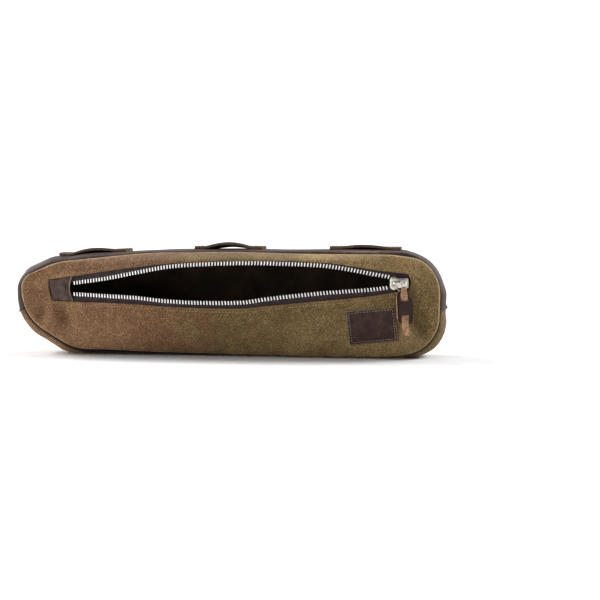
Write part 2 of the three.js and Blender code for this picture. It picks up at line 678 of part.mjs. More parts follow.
function pullKeeper() {
  const { top, shoulder, bottom, slitWidth } = KEEPER;
  const half = PULL.wide / 2;
  const plate = new THREE.Shape();
  plate.moveTo(-PULL.tail / 2, -top);
  plate.quadraticCurveTo(-half, -top, -half, -shoulder);
  plate.lineTo(-half, -bottom + 4);
  plate.quadraticCurveTo(-half, -bottom, -half + 4, -bottom);
  plate.lineTo(half - 4, -bottom);
  plate.quadraticCurveTo(half, -bottom, half, -bottom + 4);
  plate.lineTo(half, -shoulder);
  plate.quadraticCurveTo(half, -top, PULL.tail / 2, -top);
  plate.closePath();
  KEEPER_SLITS.forEach(({ from, to }) => {
    const slit = new THREE.Path();
    slit.moveTo(-slitWidth / 2, -from);
    slit.lineTo(slitWidth / 2, -from);
    slit.lineTo(slitWidth / 2, -to);
    slit.lineTo(-slitWidth / 2, -to);
    slit.closePath();
    plate.holes.push(slit);
  });
  return upright(plate, PULL.thickness / 2 - KEEPER.out, PULL.thickness);
}

function zipPull() {
  const pull = joined([pullStrip(), pullKeeper()]);
  pull.rotateY(-PULL.sway);
  const hang = RING.below + RING.radius;
  pull.translate(SLIDER.x + RING.right, ringPlane, SLIDER.z);
  return pull.translate(0, -hang * Math.sin(RING.tilt), -hang * Math.cos(RING.tilt));
}

addPiece("front_panel", "canvas", frontPanel());
addPiece("back_panel", "canvas", backPanel());
addPiece("top_gusset", "leather", topGusset());
addPiece("bottom_gusset", "canvas", bottomGusset());
STRAP_LOOPS.forEach((loop) => addPiece(loop.name, "leather", strapLoop(loop)));
const UPPER = { side: "top", teeth: "teethTop", lean: 1, up: 1, sewnRings: [-3] };
const LOWER = { side: "bottom", teeth: "teethLow", lean: LOWER_LEAN, up: -1, sewnRings: [-2, -1] };
addPiece("zip_tape_upper", "tape", zipTape(UPPER));
addPiece("zip_tape_lower", "tape", zipTape(LOWER));
addPiece("zip_teeth_upper", "teeth", zipTeeth(UPPER));
addPiece("zip_teeth_lower", "teeth", zipTeeth(LOWER));
addPiece("zip_slider", "nickel", zipSlider());
addPiece("zip_pull_ring", "nickel", zipPullRing());
addPiece("zip_pull", "leather", zipPull());
addPiece("zip_end_tab", "leather", zipEndTab());
addPiece("label_patch", "leather", labelPatch());

export default bag;
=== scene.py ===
# %% [markdown]
# # A zipped top tube bag
# The part is a long soft pouch of waxed canvas with a leather band over its top, three leather
# strap loops and a metal zip that stands open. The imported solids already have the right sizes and
# places. In this lesson each plain solid is hidden, and a finished piece with cloth, leather or
# metal on it is made in the same place.

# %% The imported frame
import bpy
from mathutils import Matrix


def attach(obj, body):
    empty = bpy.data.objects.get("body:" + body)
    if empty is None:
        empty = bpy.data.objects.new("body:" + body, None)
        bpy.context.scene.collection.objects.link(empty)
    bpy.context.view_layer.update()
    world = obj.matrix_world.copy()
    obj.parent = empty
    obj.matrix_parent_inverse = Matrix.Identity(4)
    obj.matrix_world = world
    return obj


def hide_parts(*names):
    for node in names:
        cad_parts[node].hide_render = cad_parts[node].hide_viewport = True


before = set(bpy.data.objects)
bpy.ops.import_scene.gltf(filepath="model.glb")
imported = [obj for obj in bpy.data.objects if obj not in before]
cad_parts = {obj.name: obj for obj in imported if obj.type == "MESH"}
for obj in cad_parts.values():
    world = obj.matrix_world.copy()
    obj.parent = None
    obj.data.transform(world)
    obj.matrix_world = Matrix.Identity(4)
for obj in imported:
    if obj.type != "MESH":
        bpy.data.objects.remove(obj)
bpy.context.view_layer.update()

import math
from collections import namedtuple

import bpy
import numpy as np
from mathutils import Matrix, Vector, noise

MM = 0.001

# %% [markdown]
# ## Camera
# The bag is seen almost square on, a little from its right end and from just above, through a long
# lens.

# %% Camera
LOOK_AT = Vector((57.5, -22.5, 45.0)) * MM
STAND_AT = Vector((210.3, -1109.6, 115.0)) * MM
bpy.ops.object.select_all(action="DESELECT")
aim = (LOOK_AT - STAND_AT).to_track_quat("-Z", "Y").to_euler()
bpy.ops.object.camera_add(location=STAND_AT, rotation=aim)
camera = bpy.context.object
camera.data.lens = 85
camera.data.sensor_width = 36
bpy.context.scene.camera = camera
print("camera distance in metres:", round((LOOK_AT - STAND_AT).length, 3))

# %% [markdown]
# ## Writing finishes as expressions
# A finish is a tree of shader nodes. Wiring each node by hand hides what the finish does, so one
# small class wraps a socket and lets numbers on the surface be added and multiplied like any other
# numbers, and one method adds every other kind of node. The sky is a tree of nodes too, so it uses
# the same class.

# %% A socket that can be calculated with
class Value:
    def __init__(self, finish, socket):
        self.finish = finish
        self.socket = socket

    def maths(self, operation, *others):
        sockets = dict(enumerate(others))
        return self.finish.node("Math", {"operation": operation}, sockets)

    def __add__(self, other):
        return self.maths("ADD", self, other)

    def __sub__(self, other):
        return self.maths("SUBTRACT", self, other)

    def __rsub__(self, other):
        return self.maths("SUBTRACT", other, self)

    def __mul__(self, other):
        return self.maths("MULTIPLY", self, other)

    __radd__ = __add__
    __rmul__ = __mul__

    def sine(self):
        return self.maths("SINE", self)

    def between(self, low, high):
        """0 below low, 1 above high and a smooth rise from one to the other."""
        sockets = {"Value": self, "From Min": low, "From Max": high}
        return self.finish.node("MapRange", {"interpolation_type": "SMOOTHSTEP"}, sockets)

    def parts(self):
        made = self.finish.node("SeparateXYZ", {}, {"Vector": self})
        return [Value(self.finish, socket) for socket in made.socket.node.outputs]


# %% A finish
def tone(red, green, blue):
    """A colour as it looks on a display, in the linear values that a shader takes."""
    shares = [value / 255 for value in (red, green, blue)]
    linear = [s / 12.92 if s <= 0.04045 else ((s + 0.055) / 1.055) ** 2.4 for s in shares]
    return (*linear, 1.0)


class NodeTree:
    def __init__(self, tree):
        self.tree = tree

    def node(self, kind, settings=None, sockets=None, output=0):
        made = self.tree.nodes.new("ShaderNode" + kind)
        for name, setting in (settings or {}).items():
            if name == "stops":
                self.set_stops(made.color_ramp, setting)
            else:
                setattr(made, name, setting)
        for name, value in (sockets or {}).items():
            self.feed(made.inputs[name], value)
        return Value(self, made.outputs[output])

    @staticmethod
    def set_stops(ramp, stops):
        while len(ramp.elements) < len(stops):
            ramp.elements.new(0.5)
        for element, (place, colour) in zip(ramp.elements, stops):
            element.position = place
            element.color = colour

    def feed(self, socket, value):
        if isinstance(value, Value):
            self.tree.links.new(value.socket, socket)
        else:
            socket.default_value = value


class Finish(NodeTree):
    def __init__(self, name, specular=0.5, sheen=0.0, metallic=0.0):
        self.material = bpy.data.materials.new(name)
        self.material.use_nodes = True
        super().__init__(self.material.node_tree)
        self.shader = self.tree.nodes["Principled BSDF"]
        constants = {"Specular IOR Level": specular, "Sheen Weight": sheen, "Metallic": metallic}
        for socket, value in constants.items():
            self.shader.inputs[socket].default_value = value

    def place(self):
        return self.node("TexCoord", output="Object")

    def pattern(self):
        return self.node("UVMap", {"uv_map": "Pattern"})

    def noise(self, vector, scale, detail=3.0, roughness=0.55):
        sockets = {"Vector": vector, "Scale": scale, "Detail": detail, "Roughness": roughness}
        return self.node("TexNoise", {}, sockets)

    def stretched(self, vector, scale):
        return self.node("Mapping", {}, {"Vector": vector, "Scale": scale})

    def mix(self, factor, first, second):
        made = self.node("Mix", {"data_type": "RGBA"}, {0: factor}).socket.node
        self.feed(made.inputs[6], first)
        self.feed(made.inputs[7], second)
        return Value(self, made.outputs[2])

    def ramp(self, factor, *stops):
        return self.node("ValToRGB", {"stops": stops}, {"Fac": factor})

    def aged(self, colour, broken, pale_tone, shade_tone):
        """Paler where a piece's wear is above 0, which is real wear and on the tab a painted
        highlight, and darker where it is below, which is painted shade.
        """
        wear = self.node("Attribute", {"attribute_name": "wear"}, output="Fac")
        wear_light_marks = self.mix(wear.between(0, 1) * broken, colour, pale_tone)
        return self.mix((0 - wear).between(0, 1), wear_light_marks, shade_tone)

    def coat_surface(self, colour, roughness, height, depth):
        """Feeds the sockets that vary over a surface. depth is the relief's height in metres."""
        relief = self.node("Bump", {}, {"Height": height, "Distance": depth, "Strength": 1.0})
        self.feed(self.shader.inputs["Base Color"], colour)
        self.feed(self.shader.inputs["Roughness"], roughness)
        self.feed(self.shader.inputs["Normal"], relief)
        return self.material


print("a mid brown in linear values:", [round(value, 3) for value in tone(110, 86, 56)])

# %% [markdown]
# ## Floor and light
# The bag stands on white paper in soft studio light. A broad lamp overhead makes the top of each
# form brighter, one low at the left shows the folds, and two behind put a short shadow in front.
# The sky is white only behind the bag and along the horizon. Elsewhere it is dim, so that metal and
# leather have something dark to reflect and don't look like plaster.


# %% Floor, sky and lamps
def white_paper():
    finish = Finish("white_paper", specular=0.2)
    tooth = finish.noise(finish.place(), 60, 2)
    colour = finish.ramp(tooth, (0.3, tone(224, 224, 224)), (0.7, tone(230, 230, 230)))
    return finish.coat_surface(colour, 0.8, tooth, 0.01 * MM)


bpy.ops.mesh.primitive_plane_add(size=80)
floor = bpy.context.object
floor.name = "floor"
floor.data.materials.append(white_paper())

SKY_IN_FRONT, SKY_BEHIND = 0.08, 1.35
TURN_BRIGHT, HORIZON = (0.1, 0.85), (0.015, 0.04)
studio = bpy.data.worlds.new("studio")
studio.use_nodes = True
sky = NodeTree(studio.node_tree)
_, towards_back, upwards = sky.node("TexCoord", output="Generated").parts()
dim = (1 - towards_back.between(*TURN_BRIGHT)) * upwards.between(*HORIZON)
brightness = SKY_BEHIND - dim * (SKY_BEHIND - SKY_IN_FRONT)
background = studio.node_tree.nodes["Background"].inputs
sky.feed(background["Color"], (1, 1, 1, 1))
sky.feed(background["Strength"], brightness)
bpy.context.scene.world = studio
bpy.context.scene.view_settings.view_transform = "Standard"

Lamp = namedtuple("Lamp", "comes_from power spread")
LAMPS = {
    "overhead": Lamp((-0.12, -0.3, 1.0), 0.5, 60),
    "side": Lamp((-1.0, -0.7, 0.2), 1.68, 20),
    "back left": Lamp((-1.0, 0.45, 0.75), 4.2, 30),
    "back right": Lamp((1.0, 0.45, 0.8), 3.7, 30),
}
for name, lamp in LAMPS.items():
    turn = Vector(lamp.comes_from).to_track_quat("Z", "Y").to_euler()
    bpy.ops.object.light_add(type="SUN", rotation=turn)
    sun = bpy.context.object
    sun.name = name
    sun.data.energy, sun.data.angle = lamp.power, math.radians(lamp.spread)
print("lamps:", list(LAMPS))

# %% [markdown]
# ## The cloths
# Waxed cotton canvas is a plain weave of thick threads, rubbed with wax. Where it is handled the
# wax cracks and the cloth goes paler, so the colour wanders from brown to olive and the turned
# edges are worn. The weave follows the cut of each piece, so it reads the piece's own pattern map,
# in metres.

# %% Waxed canvas
THREAD = 0.55 * MM
CLOTH_STOPS = (0.36, 0.5, 0.64)
BROWN_TONES = (tone(92, 64, 43), tone(132, 99, 70), tone(172, 134, 98))
OLIVE_TONES = (tone(82, 64, 37), tone(118, 97, 62), tone(156, 132, 90))
# Where the canvas changes its colour, in metres along the bag or up from the floor. The middle of
# the bag gets painted shade, the band below the zip a painted shadow, and the upper left is darker
# and the upper right paler.
OLIVE_FROM, MIDDLE_SHADE_FROM, MIDDLE_SHADE_TO, PULL_END = (-0.07, 0.02), (-0.11, -0.03), (0.04, 0.11), (0.13, 0.15)
SHOULDER, SHOULDER_FADES = (0.055, 0.07), (-0.05, 0.06)
SHADOW_BELOW_ZIP, ZIP_LIP = (0.012, 0.038), (0.05, 0.058)


def plain_weave(finish, pitch):
    across, along, _ = finish.pattern().parts()
    turn = math.pi / pitch
    return (across * turn).sine() * (along * turn).sine()


def waxed_canvas():
    finish = Finish("waxed_canvas", specular=0.2, sheen=0.03)
    place = finish.place()
    patches = finish.noise(place, 24, 3, 0.6)
    scuffs = finish.noise(place, 110, 4, 0.65)
    specks = finish.noise(place, 1150, 1)
    towards_slider, _, height = place.parts()
    from_middle = towards_slider + patches * 0.1 - 0.05
    # Painted shade over the middle of the bag.
    shaded_middle = from_middle.between(*MIDDLE_SHADE_FROM) * (1 - from_middle.between(*MIDDLE_SHADE_TO))
    shoulder = height.between(*SHOULDER) * (1 - from_middle.between(*SHOULDER_FADES) * 1.45)
    # Painted shadow on the canvas below the lower lip of the zip, ending at the pull.
    shadow_below_zip = height.between(*SHADOW_BELOW_ZIP) * (1 - towards_slider.between(*PULL_END))
    shadow_below_zip = shadow_below_zip * (1 - height.between(*ZIP_LIP))
    mottle = patches * 0.25 + scuffs * 0.15 + specks * 0.7 - 0.05
    mottle = mottle - shaded_middle * 0.055 - shoulder * 0.07 - shadow_below_zip * 0.045
    olive = (towards_slider + patches * 0.2 - 0.1).between(*OLIVE_FROM)
    brown_cloth, olive_cloth = [finish.ramp(mottle, *zip(CLOTH_STOPS, tones))
                                for tones in (BROWN_TONES, OLIVE_TONES)]
    cloth = finish.mix(olive, brown_cloth, olive_cloth)
    # Wear makes the canvas paler; painted shade in grooves, dents and the shaded band darkens it.
    colour = finish.aged(cloth, scuffs.between(0.25, 0.6), tone(172, 144, 103), tone(20, 14, 9))
    threads = plain_weave(finish, THREAD)
    slubs = finish.noise(finish.pattern(), 1400, 2)
    return finish.coat_surface(colour, 0.72 + scuffs * 0.2, threads * 0.5 + slubs, 0.22 * MM)


CANVAS_FINISH = waxed_canvas()
print("canvas threads per centimetre:", round(10 * MM / THREAD, 1))

# %% Painted shade inside, and zip tape
TAPE_RIB = 0.45 * MM


# The inside of every wall is painted much darker than the canvas: painted shade inside the closed
# bag.
def inside_painted_shade():
    finish = Finish("inside_painted_shade", specular=0.1)
    shade = finish.noise(finish.place(), 60, 3)
    colour = finish.ramp(shade, (0.3, tone(34, 26, 19)), (0.7, tone(56, 43, 32)))
    return finish.coat_surface(colour, 0.9, plain_weave(finish, THREAD), 0.1 * MM)


def zip_tape():
    finish = Finish("zip_tape", specular=0.2, sheen=0.15)
    across, along, _ = finish.pattern().parts()
    ribs = ((across + along) * (math.pi / TAPE_RIB)).sine()
    fade = finish.noise(finish.place(), 180, 3)
    colour = finish.ramp(fade, (0.3, tone(38, 26, 27)), (0.7, tone(62, 46, 49)))
    return finish.coat_surface(colour, 0.75 + fade * 0.15, ribs, 0.15 * MM)


INSIDE_SHADE_FINISH = inside_painted_shade()
TAPE_FINISH = zip_tape()
print("cloth finishes made")

# %% [markdown]
# ## Leather, thread and metal
# The band, loops, tab, label and pull are cut from one dark oiled hide. Its grain side is smooth
# with fine pores, its flesh side is tan and fibrous, and the cut edges are a greyer brown. Teeth,
# slider and ring are nickel plated. Thread is a tan twist. Each one gets its own small pattern,
# because one even colour looks like plastic.


# %% Leather
def oiled_leather():
    finish = Finish("oiled_leather", specular=0.22)
    place = finish.place()
    cells = finish.node("TexVoronoi", {"feature": "F1"}, {"Vector": place, "Scale": 950})
    creases = finish.noise(place, 210, 4, 0.6)
    clouds = finish.noise(place, 38, 3)
    colour = finish.ramp(clouds * 0.45 + creases * 0.55, (0.38, tone(36, 22, 18)),
                         (0.5, tone(50, 33, 28)), (0.62, tone(68, 48, 42)))
    # Rubbed places and the tab's painted highlight make it paler; painted shade in the seam groove
    # darkens it.
    rubbed = finish.aged(colour, creases.between(0.15, 0.6), tone(130, 112, 103), tone(12, 9, 8))
    roughness = 0.52 + clouds * 0.14 + creases * 0.1
    return finish.coat_surface(rubbed, roughness, cells * 0.6 + creases * 1.6, 0.2 * MM)


def raw_leather(name, dark, light, contrast=0.15):
    finish = Finish(name, specular=0.15)
    place = finish.place()
    fibres = finish.noise(place, 1300, 4, 0.7)
    smears = finish.noise(place, 240, 3)
    mottle = fibres * 0.55 + smears * 0.45
    colour = finish.ramp(mottle, (0.5 - contrast, dark), (0.5 + contrast, light))
    return finish.coat_surface(colour, 0.85, fibres, 0.2 * MM)


LEATHER_FINISH = oiled_leather()
EDGE_FINISH = raw_leather("leather_cut_edge", tone(66, 52, 44), tone(112, 93, 79))
FLESH_FINISH = raw_leather("leather_flesh_side", tone(96, 68, 48), tone(196, 156, 122), 0.1)
print("leather finishes made")


# %% Thread and metal
def spun_thread(name, dark, light):
    finish = Finish(name, specular=0.25)
    twist = finish.noise(finish.place(), 1500, 3)
    colour = finish.ramp(twist, (0.35, dark), (0.65, light))
    return finish.coat_surface(colour, 0.7, twist, 0.1 * MM)


def plated(name, dark, light, roughness, metallic=1.0):
    finish = Finish(name, metallic=metallic)
    handled = finish.noise(finish.place(), 420, 4, 0.6)
    scratched = finish.noise(finish.stretched(finish.place(), (1, 1, 6)), 900, 2)
    colour = finish.ramp(handled, (0.35, dark), (0.6, light))
    return finish.coat_surface(colour, roughness + handled * 0.14, scratched, 0.02 * MM)


TAN_THREAD = spun_thread("tan_thread", tone(118, 94, 61), tone(176, 148, 106))
PALE_THREAD = spun_thread("pale_thread", tone(114, 100, 79), tone(170, 154, 128))
TEETH_FINISH = plated("bright_teeth", tone(232, 231, 228), tone(250, 249, 247), 0.42, 0.6)
# Painted shade for the sides of the teeth, where they face each other.
TOOTH_SIDE_SHADE = plated("tooth_sides_painted_shade", tone(38, 36, 34), tone(62, 60, 57), 0.5)
NICKEL_FINISH = plated("nickel", tone(170, 165, 155), tone(210, 205, 196), 0.22)
print("thread and metal made")

# %% [markdown]
# ## The paper pattern
# A sewn bag starts as a flat pattern: the seam line round a panel and the opening for the zip. The
# same few corners and heights drive every cloth piece here, so neighbours share their seams. The
# seam line is straight runs joined by arcs. The opening is a table of heights along the bag, with a
# smooth curve through each column.

# %% Seam line
Corner = namedtuple("Corner", "x z radius")
PANEL_CORNERS = [
    Corner(166, 81.5, 31),
    Corner(-60, 81.5, 400),
    Corner(-138, 73.6, 60),
    Corner(-167.3, 60.8, 12),
    Corner(-166, 30, 38),
    Corner(-122, 3, 45),
    Corner(164, 3, 30),
]


def unit(vectors):
    return vectors / np.maximum(np.linalg.norm(vectors, axis=-1, keepdims=True), 1e-9)


def bump(distance, reach):
    """1 where the distance is 0, and nearly 0 from twice the reach on."""
    return np.exp(-(distance / reach) ** 2)


def climb(value, start, run):
    """0 up to a start, then rising to 1 over a run."""
    return np.clip((value - start) / run, 0, 1)


def places(x, y, z):
    return np.stack(np.broadcast_arrays(x, y, z), axis=-1)


def rounded_outline(corners):
    points = []
    for k, corner in enumerate(corners):
        before, after = corners[k - 1], corners[(k + 1) % len(corners)]
        into = unit(np.array([corner.z - before.z, before.x - corner.x]))
        onward = unit(np.array([after.z - corner.z, corner.x - after.x]))
        centre = (corner.x, corner.z) - (into + onward) * corner.radius / (1 + into @ onward)
        angles = math.atan2(into[1], into[0]) + math.acos(into @ onward) * np.linspace(0, 1, 40)
        points.append(centre + corner.radius * np.stack([np.cos(angles), np.sin(angles)], axis=1))
    return np.concatenate([*points, points[0][:1]])


seam_line = rounded_outline(PANEL_CORNERS)
seam_runs = np.append(0, np.cumsum(np.linalg.norm(np.diff(seam_line, axis=0), axis=1)))
SEAM_LENGTH = seam_runs[-1]


def seam_point(run):
    """Place in X-Z after a given run along the seam line."""
    run = np.mod(run, SEAM_LENGTH)
    return np.stack([np.interp(run, seam_runs, seam_line[:, k]) for k in (0, 1)], axis=-1)


def seam_facing(run):
    """Direction outwards in X-Z, square to the seam line."""
    ahead = seam_point(run + 1) - seam_point(run - 1)
    return unit(np.stack([ahead[..., 1], -ahead[..., 0]], axis=-1))


def run_near(x, z):
    runs = np.arange(0, SEAM_LENGTH, 0.1)
    return runs[np.argmin(np.linalg.norm(seam_point(runs) - (x, z), axis=1))]


print("seam line in millimetres:", round(SEAM_LENGTH, 1))

# %% Opening for the zip
Mouth = namedtuple("Mouth", "x edge_top teeth_top teeth_low edge_low out")
MOUTH = [
    Mouth(-142.5, 59.9, 54.6, 48.6, 43.3, 1),
    Mouth(-120, 62.8, 57.4, 48.4, 42.4, 3.7),
    Mouth(-95, 66.8, 61, 47.4, 42.1, 7.3),
    Mouth(-70, 70.5, 65.9, 46.4, 41.3, 10.6),
    Mouth(-45, 73.6, 70.5, 44.2, 39.9, 13.2),
    Mouth(-20, 75.3, 72.6, 43.3, 39.2, 14.7),
    Mouth(15, 76.5, 73.8, 43.8, 39.2, 15),
    Mouth(35, 76.3, 73.7, 46.7, 41.3, 14.8),
    Mouth(75, 75, 72.3, 51.2, 45.2, 13.3),
    Mouth(95, 72.6, 69.6, 52.7, 47, 10.9),
    Mouth(115, 69.3, 65.7, 54.2, 49.2, 7.4),
    Mouth(142, 65.8, 61, 57.6, 53.5, 3.4),
]
MOUTH_LEFT, MOUTH_RIGHT = MOUTH[0].x, MOUTH[-1].x
LOWER_LEAN = 1.1


def smooth_table(xs, values):
    """A smooth curve through a table of values."""
    xs, values = np.array(xs, dtype=float), np.array(values, dtype=float)
    last = len(xs) - 1
    before = np.maximum(np.arange(last + 1) - 1, 0)
    after = np.minimum(np.arange(last + 1) + 1, last)
    slopes = (values[after] - values[before]) / (xs[after] - xs[before])

    def curve(x):
        k = np.clip(np.searchsorted(xs, x) - 1, 0, last - 1)
        width = xs[k + 1] - xs[k]
        u = np.clip((x - xs[k]) / width, 0, 1)
        bend = u * (1 - u) * width * (slopes[k] * (1 - u) - slopes[k + 1] * u)
        return values[k] + (values[k + 1] - values[k]) * u * u * (3 - 2 * u) + bend

    return curve


mouth = {column: smooth_table([row.x for row in MOUTH], [getattr(row, column) for row in MOUTH])
         for column in Mouth._fields[1:]}
print("the mouth gapes by", round(float(mouth["teeth_top"](15) - mouth["teeth_low"](15)), 1), "mm")

# %% Ribs from seam to opening
Stretch = namedtuple("Stretch", "side x z columns")
STRETCHES = [
    Stretch("top", 157, 72, 220),
    Stretch("left", -160, 64, 26),
    Stretch("bottom", -160, 26, 220),
    Stretch("right", 157, 12, 26),
]
END_BOW = {"left": -0.6, "right": 1.5}
LEFT_LEAN = 1.5
SPINE_SPAN = 0.9
SPINE_DROP = 10
BACK_CROWN = 4


def mouth_rim(side, share):
    """Places in X-Z on one side of the opening, and how far the cloth stands out there."""
    if side in ("top", "bottom"):
        across = 1 - share if side == "top" else share
        left = MOUTH_LEFT + (-LEFT_LEAN if side == "top" else LEFT_LEAN)
        x = left + (MOUTH_RIGHT - left) * across
        edge = mouth["edge_top" if side == "top" else "edge_low"](x)
        return np.stack([x, edge], axis=1), mouth["out"](x) * (1 if side == "top" else LOWER_LEAN)
    end = MOUTH_LEFT if side == "left" else MOUTH_RIGHT
    down = share if side == "left" else 1 - share
    top, low = mouth["edge_top"](end), mouth["edge_low"](end)
    lean = LEFT_LEAN * (2 * down - 1) if side == "left" else 0
    x = end + lean + END_BOW[side] * np.sin(np.pi * share)
    out = mouth["out"](end) * (1 + (LOWER_LEAN - 1) * down)
    return np.stack([x, top + (low - top) * down], axis=1), out


def back_spine(side, share):
    """The line half-way up the plain back, where its ribs from above and below meet."""
    across = {"top": 1 - share, "bottom": share, "left": 0 * share, "right": 0 * share + 1}[side]
    x = (MOUTH_LEFT + (MOUTH_RIGHT - MOUTH_LEFT) * across) * SPINE_SPAN
    z = (mouth["edge_top"](x) + mouth["edge_low"](x)) / 2 - SPINE_DROP
    return np.stack([x, z], axis=1), np.full(len(x), float(BACK_CROWN))


Ribs = namedtuple("Ribs", "seam rim out length")
END_PUSH = 0.7
FLOOR_SLANT = smooth_table([-140, -122, -104, -80, -56, -20, 10, 40, 72, 104, 122, 140],
                           [0, 0.9, 1.5, 0.8, 0, -0.4, -0.8, -1.1, -1.8, -1.6, -1.2, 0])
TOP_SLANT = smooth_table([-30, 0, 30, 55, 80, 105, 120, 130, 137, 143, 150, 156],
                         [0, 0.5, 0.1, -0.5, -0.75, -0.9, -0.9, -1.3, -2.0, -1.9, -0.7, 0])


def settled_seam(run):
    """The seam of the filled front: it slants along floor and top and bulges at the right end."""
    seam, facing = seam_point(run), seam_facing(run)
    x = seam[:, 0]
    right, up, down = [np.maximum(way, 0) for way in (facing[:, 0], facing[:, 1], -facing[:, 1])]
    slant = FLOOR_SLANT(x) * down ** 4 + TOP_SLANT(x) * up ** 2
    return seam + np.stack([END_PUSH * right ** 2, slant], axis=1)


def panel_ribs(inner_rim, outer_rim):
    starts = [run_near(stretch.x, stretch.z) for stretch in STRETCHES]
    seams, rims, outs = [], [], []
    for k, stretch in enumerate(STRETCHES):
        share = np.arange(stretch.columns) / stretch.columns
        stretch_run = np.mod(starts[(k + 1) % len(starts)] - starts[k], SEAM_LENGTH)
        rim, out = inner_rim(stretch.side, share)
        seams.append(outer_rim(starts[k] + stretch_run * share))
        rims.append(rim)
        outs.append(out)
    seam, rim, out = [np.concatenate([*parts, parts[0][:1]]) for parts in (seams, rims, outs)]
    return Ribs(seam, rim, out, np.linalg.norm(rim - seam, axis=1))


front_ribs = panel_ribs(mouth_rim, settled_seam)
back_ribs = panel_ribs(back_spine, seam_point)
print("ribs round a panel:", len(front_ribs.seam) - 1)

# %% [markdown]
# ## From points to cloth
# A sheet of cloth is a grid: rows across it and columns along it. Blender's grid primitive already
# has that order, so it is added at the right count and its points are moved to where the cloth
# lies. Its UV map becomes the pattern map that the weave follows, and where the grid meets itself
# the doubled points are merged, so that the sheet closes into a wall with a real thickness.

# %% Sewing a grid
SEWN_WITHIN = 2e-6


def clear_selection():
    bpy.ops.object.select_all(action="DESELECT")


def turn_outwards():
    """Makes every face of the piece in edit mode look outwards, and leaves edit mode."""
    bpy.ops.mesh.select_all(action="SELECT")
    bpy.ops.mesh.normals_make_consistent(inside=False)
    bpy.ops.object.mode_set(mode="OBJECT")


def shade_smooth(crease):
    bpy.ops.object.shade_smooth_by_angle(angle=math.radians(crease))


def sew_sheet(name, points, pattern, finishes, face_finish=0, wear=0.0, crease=50):
    """A piece from rows and columns of points in millimetres, with a finish for each face."""
    rows, columns = points.shape[:2]
    clear_selection()
    bpy.ops.mesh.primitive_grid_add(x_subdivisions=columns - 1, y_subdivisions=rows - 1, size=1)
    piece = bpy.context.object
    piece.name = piece.data.name = name
    mesh = piece.data
    mesh.vertices.foreach_set("co", (points * MM).ravel())
    corners = np.empty(len(mesh.loops), dtype=np.int32)
    mesh.loops.foreach_get("vertex_index", corners)
    mesh.uv_layers[0].name = "Pattern"
    mesh.uv_layers[0].data.foreach_set("uv", (pattern * MM).reshape(-1, 2)[corners].ravel())
    # The wear attribute: above 0 real wear plus the tab's painted highlight, below 0 painted shade.
    wear_light_marks = mesh.attributes.new("wear", "FLOAT", "POINT")
    wear_light_marks.data.foreach_set("value", np.broadcast_to(wear, (rows, columns)).ravel())
    for finish in finishes:
        mesh.materials.append(finish)
    face_finishes = np.broadcast_to(face_finish, (rows - 1, columns - 1)).ravel()
    mesh.polygons.foreach_set("material_index", face_finishes.astype(np.int32))
    bpy.ops.object.mode_set(mode="EDIT")
    bpy.ops.mesh.select_all(action="SELECT")
    bpy.ops.mesh.remove_doubles(threshold=SEWN_WITHIN)
    turn_outwards()
    shade_smooth(crease)
    return piece


Fold = namedtuple("Fold", "height size seed")


def folds_at(points, *folds):
    """Smooth noise: each fold adds swells of its height, about as wide as its size."""
    total = 0
    for fold in folds:
        spots = points.reshape(-1, 3) / fold.size + fold.seed
        total = total + fold.height * np.array([noise.noise(Vector(spot)) for spot in spots])
    return total.reshape(points.shape[:-1])


def grid_normals(points, facing):
    """Outward directions of a ring-shaped grid whose last column repeats its first."""
    ahead = np.empty_like(points)
    ahead[:, 1:-1] = points[:, 2:] - points[:, :-2]
    ahead[:, 0] = ahead[:, -1] = points[:, 1] - points[:, -2]
    normals = -facing * np.cross(ahead, np.gradient(points, axis=0))
    lost = np.linalg.norm(normals, axis=-1) < 1e-9
    normals[lost] = (0, facing, 0)
    return unit(normals)


def set_piece(piece, node):
    """Fixes a piece to the bag. A line of stitches has no node to replace."""
    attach(piece, "root")
    if node:
        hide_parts(node)
    print(f"{piece.name}: {len(piece.data.polygons)} faces")


print("helpers ready")

# %% [markdown]
# ## Front panel
# The front is one piece of canvas. Its outer edge is turned over the seam, which leaves a rounded,
# worn ridge. From there the cloth leans out to the lips of the open zip, where it ends in a folded
# hem. It could be draped by a cloth simulation, but the lips are held by the zip and the wax keeps
# the cloth stiff, so its shape is worked out rib by rib, and the dents, folds and puckers are moved
# in one by one.

# %% Size and softness of the canvas
DEPTH, CANVAS = 45.0, 1.6
EDGE_ROLL, EDGE_RUN, EDGE_SHARE = 2.0, 3.0, 0.34
HEM_STITCH, HEM_FURROW, FURROW_REACH = 2.1, 0.28, 0.7
FRONT_FOLDS = [Fold(0.55, 38, 3.1), Fold(0.28, 15, 7.7)]
BACK_FOLDS = [Fold(0.7, 45, 21.0), Fold(0.3, 16, 5.0)]
FRONT_PUCKERS, BACK_PUCKERS = Fold(0.22, 5.5, 11.3), Fold(0.2, 5.5, 2.0)
FRONT_PUCKER_RUN, BACK_PUCKER_RUN, PUCKER_REACH = 5, 6, 3.5
# Painted shade on the left wall of each dent: how strong it is, and how far left of the dent it
# sits.
DENT_SHADE, DENT_SHADE_LEFT = 0.065, 4.2
